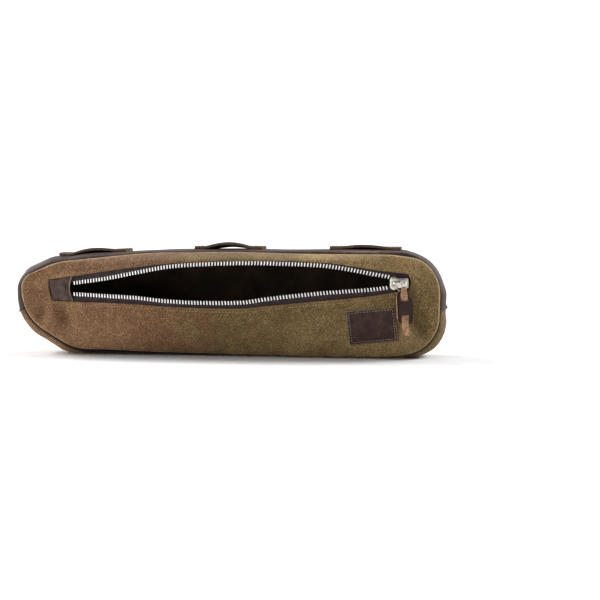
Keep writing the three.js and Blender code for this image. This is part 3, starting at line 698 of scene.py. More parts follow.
# The turned edge has a real worn line, and the groove beside the seam gets painted shade.
WORN_AT, WORN_REACH, GROOVE_SHADE, GROOVE_REACH = 1.0, 0.9, 1.3, 0.3
HEM_RUB, HEM_RUB_REACH, HEM_WEAR = 0.25, 0.6, 0.1
Dent = namedtuple("Dent", "x z reach_x reach_z depth slant")
DENTS = {
    "below the tab": Dent(-128, 27, 8, 14, 4.4, 0.1),
    "ridge below the tab": Dent(-140.5, 29, 4.5, 11, -2.2, 0.3),
    "left end": Dent(-149, 31, 4.2, 12, 3.6, 0.45),
    "beside the tab": Dent(-155, 46, 8, 16, 1.0, 0),
    "beside the pull": Dent(157, 22, 5.5, 15, 5.0, -0.5),
    "ridge below the pull": Dent(148, 20, 4.5, 13, -2.8, -0.5),
    "before the label": Dent(55, 20, 40, 12, 1.8, 0),
}
TURNED_ROWS = np.array([0, 0.03, 0.09, 0.18, 0.3, 0.45, 0.62, 0.8])
EVEN_ROWS = np.linspace(0, 1, 27)


def row_shares(ribs, ending):
    """Shares of the way from seam to rim: close rows on the turned edge, then even ones."""
    turned = np.minimum(EDGE_RUN / ribs.length, EDGE_SHARE)
    rows = [share * turned for share in TURNED_ROWS]
    rows += [turned + (1 - turned) * share for share in EVEN_ROWS]
    return np.array(rows) * ending


def panel_points(ribs, shares, facing, relief):
    flat = ribs.seam + (ribs.rim - ribs.seam) * shares[..., None]
    turned = 1 - np.minimum(shares * ribs.length / EDGE_RUN, 1)
    roll = EDGE_ROLL * np.sqrt(1 - turned ** 2)
    lean = ribs.out * np.sin(shares * np.pi / 2)
    stand = facing * (DEPTH / 2 + roll + lean + relief)
    return places(flat[..., 0], stand, flat[..., 1])


def runs_down(points):
    """Distance along each column of a grid from its first row."""
    steps = np.linalg.norm(np.diff(points, axis=0), axis=-1)
    return np.concatenate([np.zeros((1, points.shape[1])), np.cumsum(steps, axis=0)])


def dents_at(x, z):
    return sum(dent.depth * bump(x - dent.x - dent.slant * (z - dent.z), dent.reach_x)
               * bump(z - dent.z, dent.reach_z) for dent in DENTS.values())


def front_relief(points, shares, from_rim):
    """Height of the folds, and the painted shade on the left wall of each dent, the side turned
    away from the lamp at the left.
    """
    x, z = points[..., 0], points[..., 2]
    held = np.sin(shares * np.pi)
    near_seam = bump(shares * front_ribs.length - FRONT_PUCKER_RUN, PUCKER_REACH)
    puckers = near_seam * folds_at(points, FRONT_PUCKERS)
    sewn = HEM_FURROW * bump(from_rim - HEM_STITCH, FURROW_REACH)
    relief = folds_at(points, *FRONT_FOLDS) * np.sqrt(held) - dents_at(x, z) * held + puckers - sewn
    return relief, DENT_SHADE * dents_at(x + DENT_SHADE_LEFT, z) * held


print("dents:", list(DENTS))

# %% Front panel wall
flat_front = panel_points(front_ribs, row_shares(front_ribs, 1.0), -1, 0)
hem_pull = 1 - CANVAS / 2 / runs_down(flat_front)[-1]
front_shares = row_shares(front_ribs, hem_pull)
smooth_front = panel_points(front_ribs, front_shares, -1, 0)
from_seam = runs_down(smooth_front)
from_rim = from_seam[-1] - from_seam
relief, dent_shade = front_relief(smooth_front, front_shares, from_rim)
front_outside = panel_points(front_ribs, front_shares, -1, relief)
front_normals = grid_normals(front_outside, -1)


def edge_wear_and_shade(from_seam):
    """Painted shade in the seam groove, then a worn line along the turned edge."""
    return bump(from_seam - WORN_AT, WORN_REACH) - GROOVE_SHADE * bump(from_seam, GROOVE_REACH)


def hem_rows(edge, normal, towards, steps=5):
    """A half-round fold from the outer face to the inner face of a wall."""
    centre = edge - normal * CANVAS / 2
    angles = np.pi * np.arange(1, steps + 1) / steps
    return [centre + (normal * math.cos(a) + towards * math.sin(a)) * CANVAS / 2 for a in angles]


hem_ahead = unit(front_outside[-1] - front_outside[-2])
hem = hem_rows(front_outside[-1], front_normals[-1], hem_ahead)
INNER_ROWS = [*range(27, 12, -3), *range(12, -1, -2)]
front_inside = (front_outside - front_normals * CANVAS)[INNER_ROWS]
front_wall = np.concatenate([front_outside, hem, front_inside, front_outside[:1]])
outer_rows = len(front_outside) + len(hem) - 1

rib_way = unit(front_ribs.seam - front_ribs.rim)
columns = from_rim.shape[1]
wall_from_rim = np.concatenate([from_rim, np.zeros((len(hem), columns)),
                                from_rim[INNER_ROWS], from_rim[:1]])
front_pattern = front_ribs.rim + rib_way * wall_from_rim[..., None]
# Worn edge and hem, less painted shade in the seam groove and on the dents' left walls.
front_wear_and_shade = edge_wear_and_shade(from_seam) + HEM_RUB * bump(from_rim, HEM_RUB_REACH) - dent_shade
front_wear_and_shade = np.concatenate([front_wear_and_shade, np.full((len(hem), columns), HEM_WEAR),
                             np.zeros((len(INNER_ROWS) + 1, columns))])
inside_faces = (np.arange(len(front_wall) - 1) >= outer_rows).astype(int)[:, None]
front_panel = sew_sheet("front_panel_canvas", front_wall, front_pattern,
                        [CANVAS_FINISH, INSIDE_SHADE_FINISH], inside_faces, front_wear_and_shade)
set_piece(front_panel, "front_panel")

# %% [markdown]
# ## Back panel
# The plain back has the same seam line and the same turned edge. With no opening its ribs run on to
# a spine along its middle, where the upper and lower ones meet, and the cloth crowns a little.

# %% Back panel wall
back_shares = row_shares(back_ribs, 1.0)
smooth_back = panel_points(back_ribs, back_shares, 1, 0)
back_from_seam = runs_down(smooth_back)
back_hold = np.sin(back_shares * np.pi / 2)
back_near_seam = bump(back_from_seam - BACK_PUCKER_RUN, PUCKER_REACH)
back_relief = folds_at(smooth_back, *BACK_FOLDS) * back_hold
back_relief += back_near_seam * folds_at(smooth_back, BACK_PUCKERS)
back_outside = panel_points(back_ribs, back_shares, 1, back_relief)
back_normals = grid_normals(back_outside, 1)
back_normals[-1] = (0, 1, 0)
back_inside = (back_outside - back_normals * CANVAS)[::-2]
back_wall = np.concatenate([back_inside, back_outside])
spine_way = unit(back_ribs.seam - back_ribs.rim)
back_from_spine = back_from_seam[-1] - back_from_seam
wall_from_spine = np.concatenate([back_from_spine[::-2], back_from_spine])
back_pattern = back_ribs.rim + spine_way * wall_from_spine[..., None]
# Painted shade in the back's seam groove, and a worn line on its turned edge.
back_wear_and_shade = np.concatenate([0 * back_from_seam[::-2], edge_wear_and_shade(back_from_seam)])
back_inner_faces = (np.arange(len(back_wall) - 1) < len(back_inside)).astype(int)[:, None]
back_panel = sew_sheet("back_panel_canvas", back_wall, back_pattern,
                       [CANVAS_FINISH, INSIDE_SHADE_FINISH], back_inner_faces, back_wear_and_shade)
set_piece(back_panel, "back_panel")

# %% [markdown]
# ## Gusset
# A band joins front and back right round the bag: smooth leather over the top and ends, canvas
# below. Each band is a wall with an outer and an inner face, swept along the seam line. It swells
# between its two seams, and below it is flattened where the bag stands. The leather ends in a small
# folded nub where it is sewn to the canvas.


# %% Walls with two faces
def wall_grid(outer, inner):
    """Closed grid round two faces: rows along the wall, both faces across it, both ends shut."""
    middle = (outer + inner) / 2
    loops = np.concatenate([outer, inner[:, ::-1], outer[:, :1]], axis=1)
    ends = np.concatenate([middle, middle[:, ::-1], middle[:, :1]], axis=1)
    points = np.concatenate([ends[:1], loops, ends[-1:]])
    along = runs_down(middle)[:, middle.shape[1] // 2]
    around = runs_down(points.swapaxes(0, 1)).T
    along = np.concatenate([along[:1] - 1, along, along[-1:] + 1])
    pattern = np.stack([np.broadcast_to(along[:, None], around.shape), around], axis=-1)
    across = outer.shape[1]
    face_finish = np.zeros((len(points) - 1, points.shape[1] - 1))
    face_finish[:, across:-1] = 2
    face_finish[:, [across - 1, -1]] = 1
    face_finish[[0, -1]] = 1
    return points, pattern, face_finish


def sew_wall(name, outer, inner, finishes, wear=0.0, crease=50):
    """A wall with a finish for its outside, one for its cut edges and one for its inside."""
    points, pattern, face_finish = wall_grid(outer, inner)
    wear_light_marks = np.zeros(points.shape[:2])
    wear_light_marks[1:-1, :outer.shape[1]] = wear
    return sew_sheet(name, points, pattern, finishes, face_finish, wear_light_marks, crease)


print("walls can be swept")

# %% Gusset bands
LEATHER = 2.0
# How far the band stands outside the seam, by the way it faces: degrees from right over the top.
SWELL = {0: 4.4, 13: 2.7, 43: 2.0, 72: 1.4, 90: 2.2, 94: 1.9, 97: 2.3, 103: 4.3, 112: 6.5, 144: 5.7,
         181: 7.7, 203: 9.4, 215: 9.9, 238: 9.2, 255: 5.2, 270: 4.4, 290: 4.4, 318: 7.0, 347: 6.0,
         354: 5.5, 360: 4.4}
Rise = namedtuple("Rise", "x reach height")
RISES = [Rise(-117, 20, 2.0), Rise(-98, 28, 0.8), Rise(0, 26, 0.5), Rise(100, 26, 0.65)]
SWELL_POWER = 4
EDGE_TUCK, TUCK_RUN = 2.0, 1.6
# Painted shade in the groove beside each seam fades as the band rises: how far it reaches at the
# left, the right and the top.
GROOVE_SHADE_HEIGHT = {"left": 2.2, "right": 1.3, "top": 0.3}
# Painted shade over the whole canvas band below.
BASE_SHADE = 0.2
# Painted shade across the middle of the canvas band at its right end, where it turns away from the
# lamps.
EndShade = namedtuple("EndShade", "depth from_x run_x from_z run_z across")
RIGHT_SHADE = EndShade(0.22, 145, 20, 10, 12, 0.8)
BAND_RUB, BAND_RUB_X, BAND_RUB_REACH = 0.9, 112, 32
SEAM_CLEARANCE = 0.15
NUB_PROUD, NUB_RUN = 1.4, 3.0
BAND_STEP = 1.6
LEATHER_WAVES, CANVAS_WAVES = Fold(0.25, 26, 4.4), Fold(0.45, 26, 4.4)
half_section = np.array([0, 0.22, 0.42, 0.58, 0.7, 0.79, 0.86, 0.91, 0.945, 0.97, 0.987, 1])
BAND_SECTION = np.concatenate([-half_section[:0:-1], half_section])
right_join, left_join = run_near(166, 38.4), run_near(-163.6, 36.5)
swell_curve = smooth_table(list(SWELL), list(SWELL.values()))


def swell_at(seam, facing):
    shoulder = sum(rise.height * bump(seam[..., 0] - rise.x, rise.reach) for rise in RISES)
    swell = swell_curve(np.degrees(np.arctan2(facing[..., 1], facing[..., 0])) % 360)
    return swell + np.where(facing[..., 1] > 0, shoulder, 0)


def rest_on_floor(height, softness=0.35):
    """Presses what would be below the floor up to it, with a soft turn."""
    return (height + np.sqrt(height ** 2 + softness ** 2)) / 2


def outside_seam(seam, facing, stand, y):
    """Places that stand outside a run of the seam line, one row for each of its points."""
    return places(seam[:, :1] + facing[:, :1] * stand, y, seam[:, 1:] + facing[:, 1:] * stand)


def gusset_faces(start, end, thickness, nub, waves):
    length = np.mod(end - start, SEAM_LENGTH) - 2 * SEAM_CLEARANCE
    along = np.linspace(0, length, round(length / BAND_STEP))
    runs = start + SEAM_CLEARANCE + along
    to_end = np.minimum(along, length - along)
    folded = nub * np.clip(1 - to_end / NUB_RUN, 0, 1) ** 2
    seam, facing = seam_point(runs), seam_facing(runs)
    half = DEPTH / 2 - 2 * SEAM_CLEARANCE
    section = 1 - np.abs(BAND_SECTION) ** SWELL_POWER
    tuck = EDGE_TUCK * bump(half * (1 - np.abs(BAND_SECTION)), TUCK_RUN)
    height = swell_at(seam, facing)[:, None] * section - tuck
    upwards = np.maximum(facing[:, 1:], 0) ** 2
    end_shade_height = np.where(seam[:, :1] < 0, GROOVE_SHADE_HEIGHT["left"], GROOVE_SHADE_HEIGHT["right"])
    groove_shade_height = end_shade_height + (GROOVE_SHADE_HEIGHT["top"] - end_shade_height) * upwards
    # Painted shade in the groove, darkest where the band is at or below the seam.
    groove_shade = -bump(np.maximum(height, 0), groove_shade_height)

    def face(depth):
        swell = height + folded[:, None] - depth
        points = outside_seam(seam, facing, swell, BAND_SECTION * half)
        push = folds_at(points, waves) * section
        points[..., [0, 2]] += facing[:, None] * push[..., None]
        points[..., 2] = rest_on_floor(points[..., 2] - depth) + depth
        return points

    return face(0.0), face(thickness), groove_shade


print("gusset swells by", min(SWELL.values()), "to", max(SWELL.values()), "mm")

# %% Leather top and canvas bottom
# Each band comes with the painted shade for the groove beside its seams.
band_outside, band_inside, band_groove_shade = gusset_faces(right_join, left_join, LEATHER, NUB_PROUD,
                                                     LEATHER_WAVES)
rubbed = BAND_RUB * bump(band_outside[..., 0] - BAND_RUB_X, BAND_RUB_REACH) * BAND_SECTION ** 4
top_gusset = sew_wall("top_gusset_leather", band_outside, band_inside,
                      [LEATHER_FINISH, EDGE_FINISH, INSIDE_SHADE_FINISH], band_groove_shade + rubbed)
set_piece(top_gusset, "top_gusset")
base_outside, base_inside, base_groove_shade = gusset_faces(left_join, right_join, CANVAS, 0, CANVAS_WAVES)
# The right end of the canvas band is darkened with painted shade.
right_end_shade = climb(base_outside[..., 0], RIGHT_SHADE.from_x, RIGHT_SHADE.run_x)
right_end_shade *= climb(base_outside[..., 2], RIGHT_SHADE.from_z, RIGHT_SHADE.run_z)
right_end_shade *= RIGHT_SHADE.depth * bump(BAND_SECTION, RIGHT_SHADE.across)
bottom_gusset = sew_wall("bottom_gusset_canvas", base_outside, base_inside,
                         [CANVAS_FINISH, CANVAS_FINISH, INSIDE_SHADE_FINISH],
                         base_groove_shade - BASE_SHADE - right_end_shade)
set_piece(bottom_gusset, "bottom_gusset")

# %% [markdown]
# ## Strap loops
# Three strips of the same leather lie along the top, sewn only at their ends, so that a strap can
# go through. Each lies on the band, found by casting rays down to it, and arches between its
# stitches, more and wider at the front than at the back. The cut edge is a paler brown all round.

# %% Strap loops
LOOP_WIDTH, LOOP_THICKNESS, LOOP_ROWS = 22.0, 2.3, 61
LOOP_SEWN, LOOP_GAP, BACK_PRESS = 0.17, 0.08, 0.2
LOOP_RIPPLE, RIPPLE_TURN, CURL_RUN = 0.2, 9, 2.5
ARCH_FRONT, ARCH_BACK = 0.8, 3.3
STRIP_EDGE, EDGE_RUB = 0.93, 0.8
CUT_ROUNDING = 0.25
RAY_FROM = 30
Loop = namedtuple("Loop", "node x length front_rise back_rise curl_left curl_right")
LOOPS = [
    Loop("strap_loop_left", -111.3, 54, 1.7, 0.0, 0.2, 0.1),
    Loop("strap_loop_middle", -1.3, 54.2, 3.3, 0.9, 0.1, 0.1),
    Loop("strap_loop_right", 106.7, 55, 1.5, 0.0, 0.2, 0.1),
]
strip_across = np.array([-1, -0.985, -0.94, -0.7, -0.35, 0, 0.35, 0.7, 0.94, 0.985, 1])
strip_drop = CUT_ROUNDING * np.array([1, 0.35, 0, 0, 0, 0, 0, 0, 0, 0.35, 1])


def band_height(seam, facing, y):
    """How far the leather band stands outside the seam line, at a place across it."""
    above = Vector((seam[0] + RAY_FROM * facing[0], y, seam[1] + RAY_FROM * facing[1])) * MM
    _, place, _, _ = top_gusset.ray_cast(above, Vector((-facing[0], 0, -facing[1])))
    return RAY_FROM - (place - above).length / MM


def loop_faces(loop):
    share = np.linspace(0, 1, LOOP_ROWS)
    runs = run_near(loop.x, PANEL_CORNERS[0].z) + (share - 0.5) * loop.length
    seam, facing = seam_point(runs), seam_facing(runs)
    bent = climb(share, LOOP_SEWN, 1 - 2 * LOOP_SEWN)
    to_back = (strip_across + 1) / 2
    rise = loop.front_rise + (loop.back_rise - loop.front_rise) * to_back
    narrowing = ARCH_FRONT + (ARCH_BACK - ARCH_FRONT) * to_back
    arch = np.sin(np.pi * bent)[:, None] ** narrowing * rise
    curl = loop.curl_left * bump((1 - share) * loop.length, CURL_RUN)
    curl += loop.curl_right * bump(share * loop.length, CURL_RUN)
    across = strip_across * LOOP_WIDTH / 2
    band = np.array([[band_height(place, way, y) for y in across]
                     for place, way in zip(seam, facing)])
    lift = band + arch + LOOP_GAP - BACK_PRESS * to_back ** 4 + curl[:, None]
    across = across + LOOP_RIPPLE * np.sin(share * RIPPLE_TURN + loop.x)[:, None]
    return (outside_seam(seam, facing, lift + LOOP_THICKNESS - strip_drop, across),
            outside_seam(seam, facing, lift + strip_drop, across))


strip_rub = np.where(np.abs(strip_across) > STRIP_EDGE, EDGE_RUB, 0.0)
loop_pieces, loop_outsides = {}, {}
for loop in LOOPS:
    outside, inside = loop_faces(loop)
    piece = sew_wall(loop.node + "_leather", outside, inside,
                     [LEATHER_FINISH, EDGE_FINISH, LEATHER_FINISH], strip_rub)
    set_piece(piece, loop.node)
    loop_pieces[loop.node], loop_outsides[loop.node] = piece, outside

# %% [markdown]
# ## Zip tapes
# Each half of the zip is a dark woven tape, sewn behind a lip of the canvas. Its free edge is
# thickened by a cord, and the teeth are clamped round that cord. The two tapes come together under
# the leather tab at the left and under the slider at the right.

# %% Tapes
TAPE, CORD, TAPE_CLEARANCE = 0.9, 1.5, 0.3
Row = namedtuple("Row", "name side teeth lean up hidden_row")
ROWS = [
    Row("upper", "top", "teeth_top", 1.0, 1, 26),
    Row("lower", "bottom", "teeth_low", LOWER_LEAN, -1, 30),
]
TAPE_BEHIND = CANVAS + TAPE_CLEARANCE + TAPE / 2
CLOSED_FROM, CLOSING_RUN, CLOSED_GAP = 128, 8, 0.25
UNDER_LIP = 0.4


def lip_face(x, lean):
    """Depth of the canvas surface at a lip of the mouth."""
    return -(DEPTH / 2 + EDGE_ROLL + mouth["out"](x) * lean)


def stretch_columns(side):
    start = 0
    for stretch in STRETCHES:
        if stretch.side == side:
            return np.arange(start, start + stretch.columns + 1)
        start += stretch.columns


def tape_faces(row):
    columns = stretch_columns(row.side)
    x, edge = front_ribs.rim[columns].T
    y = lip_face(x, row.lean) + TAPE_BEHIND
    teeth = mouth[row.teeth](x)
    closing = climb(x, CLOSED_FROM, CLOSING_RUN) + climb(-x, CLOSED_FROM, CLOSING_RUN)
    meeting = (mouth["teeth_top"](x) + mouth["teeth_low"](x)) / 2 + CLOSED_GAP * row.up
    free = teeth + (meeting - teeth) * closing
    hidden = front_outside - front_normals * (CANVAS + TAPE)
    sewn = hidden[row.hidden_row][columns]
    behind_lip = places(x, y, edge + UNDER_LIP * row.up)
    visible = [places(x, y, edge + (free - edge) * share) for share in np.linspace(0.08, 1, 9)]
    middle = np.stack([sewn, (sewn + behind_lip) / 2, behind_lip, *visible], axis=1)
    half = np.full(middle.shape[1], TAPE / 2)
    half[-3:] = (0.5 * TAPE, 0.5 * CORD, 0.3 * CORD)
    normals = unit(np.cross(np.gradient(middle, axis=0), np.gradient(middle, axis=1)))
    normals *= -np.sign(normals[..., 1:2] + 1e-6)
    return middle + normals * half[:, None], middle - normals * half[:, None]


tapes = {}
for row in ROWS:
    outside, inside = tape_faces(row)
    tape = sew_wall(f"zip_tape_{row.name}_woven", outside, inside, [TAPE_FINISH] * 3)
    set_piece(tape, f"zip_tape_{row.name}")
    tapes[tape.name] = tape, outside

# %% [markdown]
# ## Teeth
# A metal zip has one small cast tooth every 2.4 mm, clamped on the cord of the tape. One tooth is
# modelled from a cube: a narrower nose drawn out towards the other row, a hollow in the face, and
# broken edges. Its sides are painted dark, as painted shade between neighbouring teeth. It is then
# copied along each row, turned with the curve of the tape.


# %% Laying copies along a line
def apply_modifier(piece, kind, **settings):
    modifier = piece.modifiers.new(kind.lower(), kind)
    for name, value in settings.items():
        setattr(modifier, name, value)
    bpy.context.view_layer.objects.active = piece
    bpy.ops.object.modifier_apply(modifier=modifier.name)


def pick_faces(piece, wanted):
    """Goes into edit mode with only the faces selected for which wanted(face) is true."""
    bpy.ops.object.mode_set(mode="EDIT")
    bpy.ops.mesh.select_mode(type="FACE")
    bpy.ops.mesh.select_all(action="DESELECT")
    bpy.ops.object.mode_set(mode="OBJECT")
    for face in piece.data.polygons:
        face.select = wanted(face)
    bpy.ops.object.mode_set(mode="EDIT")


def join_pieces(pieces, name):
    clear_selection()
    for piece in pieces:
        piece.select_set(True)
    bpy.context.view_layer.objects.active = pieces[0]
    bpy.ops.object.join()
    pieces[0].name = pieces[0].data.name = name
    return pieces[0]


def frame_matrix(origin, ahead, across, front):
    """A place in millimetres and three directions, as a matrix in metres."""
    matrix = Matrix((ahead, across, front)).transposed().to_4x4()
    matrix.translation = Vector(origin) * MM
    return matrix


def lay_copies(model, matrices, name):
    copies = []
    for matrix in matrices:
        copy = bpy.data.objects.new(name, model.data.copy())
        copy.data.transform(matrix)
        bpy.context.collection.objects.link(copy)
        copies.append(copy)
    bpy.data.objects.remove(model)
    return join_pieces(copies, name)


def places_along(line, pitch, start=0.0):
    """Points and directions every pitch along a line of points."""
    runs = np.append(0, np.cumsum(np.linalg.norm(np.diff(line, axis=0), axis=1)))
    stops = np.arange(start, runs[-1], pitch)

    def at(run):
        return np.stack([np.interp(run, runs, line[:, k]) for k in range(3)], axis=1)

    return at(stops), unit(at(stops + 0.2) - at(stops - 0.2))


print("copies can be laid")

# %% One tooth
TOOTH_PITCH, TOOTH_LEAN = 2.4, 0.1
TOOTH_WIDTH, TOOTH_LENGTH, TOOTH_THICK, TOOTH_EDGE = 1.1, 3.1, 2.2, 0.14
NOSE, NOSE_TAPER = 0.5, (0.55, 1, 0.7)
FACE_INSET, FACE_HOLLOW = 0.25, 0.15


def model_tooth():
    clear_selection()
    bpy.ops.mesh.primitive_cube_add(size=MM)
    tooth = bpy.context.object
    bpy.ops.object.mode_set(mode="EDIT")
    bpy.ops.transform.resize(value=(TOOTH_WIDTH, TOOTH_LENGTH - NOSE, TOOTH_THICK))
    bpy.ops.transform.translate(value=(0, -NOSE / 2 * MM, 0))
    pick_faces(tooth, lambda face: face.normal.y > 0.9)
    bpy.ops.mesh.extrude_region_move(TRANSFORM_OT_translate={"value": (0, NOSE * MM, 0)})
    bpy.ops.transform.resize(value=NOSE_TAPER)
    pick_faces(tooth, lambda face: face.normal.z > 0.9)
    bpy.ops.mesh.inset(thickness=FACE_INSET * MM)
    bpy.ops.transform.translate(value=(0, 0, -FACE_HOLLOW * MM))
    bpy.ops.object.mode_set(mode="OBJECT")
    apply_modifier(tooth, "BEVEL", width=TOOTH_EDGE * MM, segments=1, limit_method="ANGLE")
    shade_smooth(35)
    tooth.data.materials.append(TEETH_FINISH)
    tooth.data.materials.append(TOOTH_SIDE_SHADE)
    # Faces turned towards the next tooth get painted shade.
    for face in tooth.data.polygons:
        face.material_index = int(abs(face.normal.x) > 0.5)
    return tooth


print("a tooth every", TOOTH_PITCH, "mm")

# %% Rows of teeth
TEETH_FROM, TEETH_TO = -122.6, 127.0


def tooth_frames(row):
    x = np.linspace(TEETH_FROM, TEETH_TO, 600)
    line = places(x, lip_face(x, row.lean) + TAPE_BEHIND, mouth[row.teeth](x))
    origins, ahead = places_along(line, TOOTH_PITCH, TOOTH_WIDTH / 2)
    for origin, way in zip(origins, ahead):
        way = Vector(way)
        front = (Vector((0, -1, 0)) + way * way.y).normalized()
        nose = (way.cross(front) * row.up - way * TOOTH_LEAN).normalized()
        yield frame_matrix(origin, nose.cross(front), nose, front)


for row in ROWS:
    teeth = lay_copies(model_tooth(), list(tooth_frames(row)), f"zip_teeth_{row.name}_metal")
    set_piece(teeth, f"zip_teeth_{row.name}")

# %% [markdown]
# ## Slider and ring
# The slider is two cast plates on a wedge-shaped post, wide at the mouth where the rows part and
# narrower behind, with the edges turned in to hold the tape and a bridge on top. A filled circle
# moved to the plate's outline and extruded is the quickest plate, and a bevel breaks its edges. A
# split wire ring hangs in the bridge.


# %% Plates from an outline
def curve_through(before, here, after, beyond, steps):
    """Points on a smooth curve, some from each place to the one after it."""
    u = np.arange(steps)[:, None, None] / steps
    curve = here + 0.5 * u * (after - before + u * (2 * before - 5 * here + 4 * after - beyond
                                                    + u * (3 * (here - after) + beyond - before)))
    return curve.swapaxes(0, 1).reshape(-1, here.shape[1])


def smooth_loop(points, steps=4):
    """A closed curve through points."""
    points = np.array(points, dtype=float)
    return curve_through(*[np.roll(points, shift, 0) for shift in (1, 0, -1, -2)], steps)


def cut_plate(outline, back, thickness, rounding):
    """A plate in X-Z whose back is at a given depth and whose front is nearer the viewer."""
    clear_selection()
    bpy.ops.mesh.primitive_circle_add(vertices=len(outline), radius=MM, fill_type="NGON")
    plate = bpy.context.object
    for vertex, (x, z) in zip(plate.data.vertices, outline):
        vertex.co = Vector((x, back, z)) * MM
    bpy.ops.object.mode_set(mode="EDIT")
    bpy.ops.mesh.select_all(action="SELECT")
    bpy.ops.mesh.extrude_region_move(TRANSFORM_OT_translate={"value": (0, -thickness * MM, 0)})
    turn_outwards()
    apply_modifier(plate, "BEVEL", width=rounding * MM, segments=3, limit_method="ANGLE",
                   angle_limit=math.radians(CAST_CREASE))
    shade_smooth(CAST_CREASE)
    plate.data.materials.append(NICKEL_FINISH)
    return plate


CAST_CREASE = 40
SLIDER_X, SLIDER_Z = 134.5, 59.0
SLIDER_PLATE, SLIDER_INSIDE = 1.5, 3.2
SLIDER_HALF = [(-6.6, 1.3), (-6.3, 3.4), (-5.4, 4.7), (-3.9, 5.15), (-2.4, 4.8), (-1.2, 4.0),
               (0.6, 3.7), (3.4, 3.7), (6.8, 3.7), (7.3, 3.4), (7.45, 1.6)]
LOBE = [(-5.8, 1.6), (-5.6, 3.2), (-4.8, 4.2), (-3.8, 4.45), (-2.6, 4.1), (-1.7, 3.3), (-1.8, 2.0)]
TAIL_PAD_HALF = [(2.6, 0.9), (2.8, 2.6), (3.7, 2.9), (6.2, 2.85), (6.7, 2.5), (6.8, 1.2)]
TAIL_HOLE_X, TAIL_HOLE = 4.6, (1.3, 0.8)
POST_HALF = [(-6.5, 0.0), (-4.9, 1.5), (-1.9, 0.3)]
PAD, LOBE_THICK, FLANGE = 1.0, 0.8, 0.9
FLANGE_FROM, FLANGE_TO = -6, 4.5
PLATE_EDGE, PAD_EDGE, POST_EDGE, FLANGE_EDGE = 0.45, 0.3, 0.2, 0.15
SUNK, POST_SUNK = 0.2, 0.3
# How far along and out the bridge is, and its width there.
BRIDGE_ROUTE = [
    (-4.3, -0.4, 2.4), (-4.3, 1.0, 2.4), (-4.15, 2.1, 2.3), (-3.5, 2.8, 2.2),
    (-2.4, 3.1, 2.1), (-1.05, 3.15, 2.0), (0.3, 3.1, 2.1), (1.4, 2.8, 2.2),
    (2.05, 2.1, 2.3), (2.2, 1.0, 2.4), (2.2, -0.4, 2.4),
]
BRIDGE_HALF, BRIDGE_ROUNDING = 0.65, 0.3
slider_middle = float(lip_face(SLIDER_X, (1 + LOWER_LEAN) / 2)) + TAPE_BEHIND
slider_front = slider_middle - SLIDER_INSIDE / 2 - SLIDER_PLATE
slider_rear = slider_middle + SLIDER_INSIDE / 2 + SLIDER_PLATE
print("slider front at y", round(slider_front, 2))


# %% Slider
def placed(outline, side=1):
    return [(SLIDER_X + x, SLIDER_Z + side * z) for x, z in outline]


def mirrored(half):
    """A closed outline from its upper half, set at the slider's place."""
    return placed(half + [(x, -z) for x, z in reversed(half) if z])


def flange(side):
    """The turned-in edge of a plate beside the mouth."""
    outer = [(x, z) for x, z in SLIDER_HALF if FLANGE_FROM < x < FLANGE_TO]
    return placed(outer + [(x, z - FLANGE) for x, z in reversed(outer)], side)


def strip_face(first, second, width, reach):
    """Where a face of a strip is, by the two numbers of its route and by its width."""
    ahead = unit(np.stack([np.gradient(first), np.gradient(second)], axis=1))
    across = width[:, None] / 2 * strip_across
    return first[:, None] - ahead[:, 1:] * reach, second[:, None] + ahead[:, :1] * reach, across


def bridge_face(side):
    fine = np.linspace(0, len(BRIDGE_ROUTE) - 1, 41)
    route = [np.interp(fine, range(len(BRIDGE_ROUTE)), column) for column in zip(*BRIDGE_ROUTE)]
    reach = side * (BRIDGE_HALF - BRIDGE_ROUNDING * np.abs(strip_across) ** 6)
    x, out, z = strip_face(*route, reach)
    return places(SLIDER_X + x, slider_front - out, SLIDER_Z + z)


def drill(plate):
    """Cuts the oval hollow in the slider's tail."""
    clear_selection()
    centre = Vector((SLIDER_X + TAIL_HOLE_X, slider_front, SLIDER_Z)) * MM
    bpy.ops.mesh.primitive_cylinder_add(vertices=32, radius=MM, depth=4 * MM, location=centre,
                                        rotation=(math.pi / 2, 0, 0))
    drill_bit = bpy.context.object
    drill_bit.scale = (*TAIL_HOLE, 1)
    apply_modifier(plate, "BOOLEAN", object=drill_bit, operation="DIFFERENCE", solver="EXACT")
    bpy.data.objects.remove(drill_bit)
    return plate


slider_outline = smooth_loop(mirrored(SLIDER_HALF))
slider_parts = [
    cut_plate(slider_outline, slider_front + SLIDER_PLATE, SLIDER_PLATE, PLATE_EDGE),
    cut_plate(slider_outline, slider_rear, SLIDER_PLATE, PLATE_EDGE),
    drill(cut_plate(smooth_loop(mirrored(TAIL_PAD_HALF)), slider_front + SUNK, PAD, PAD_EDGE)),
    cut_plate(mirrored(POST_HALF), slider_rear - POST_SUNK,
              slider_rear - slider_front - 2 * POST_SUNK, POST_EDGE),
    sew_wall("bridge", bridge_face(1), bridge_face(-1), [NICKEL_FINISH] * 3, crease=60),
]
for side in (1, -1):
    slider_parts += [
        cut_plate(smooth_loop(placed(LOBE, side)), slider_front + SUNK, LOBE_THICK, PAD_EDGE),
        cut_plate(flange(side), slider_front + SLIDER_PLATE - SUNK + FLANGE, FLANGE, FLANGE_EDGE),
        cut_plate(flange(side), slider_rear - SLIDER_PLATE + SUNK, FLANGE, FLANGE_EDGE),
    ]
slider = join_pieces(slider_parts, "zip_slider_nickel")
set_piece(slider, "zip_slider")

# %% Split ring
RING_RADIUS, RING_WIRE, RING_SEGMENTS = 3.9, 0.55, 60
RING_RIGHT, RING_BELOW = 2.3, 1.9
RING_TILT = math.radians(-10)
SPLIT_AT = 2.4
RING_OUT = 1.25
ring_plane = slider_front - RING_OUT

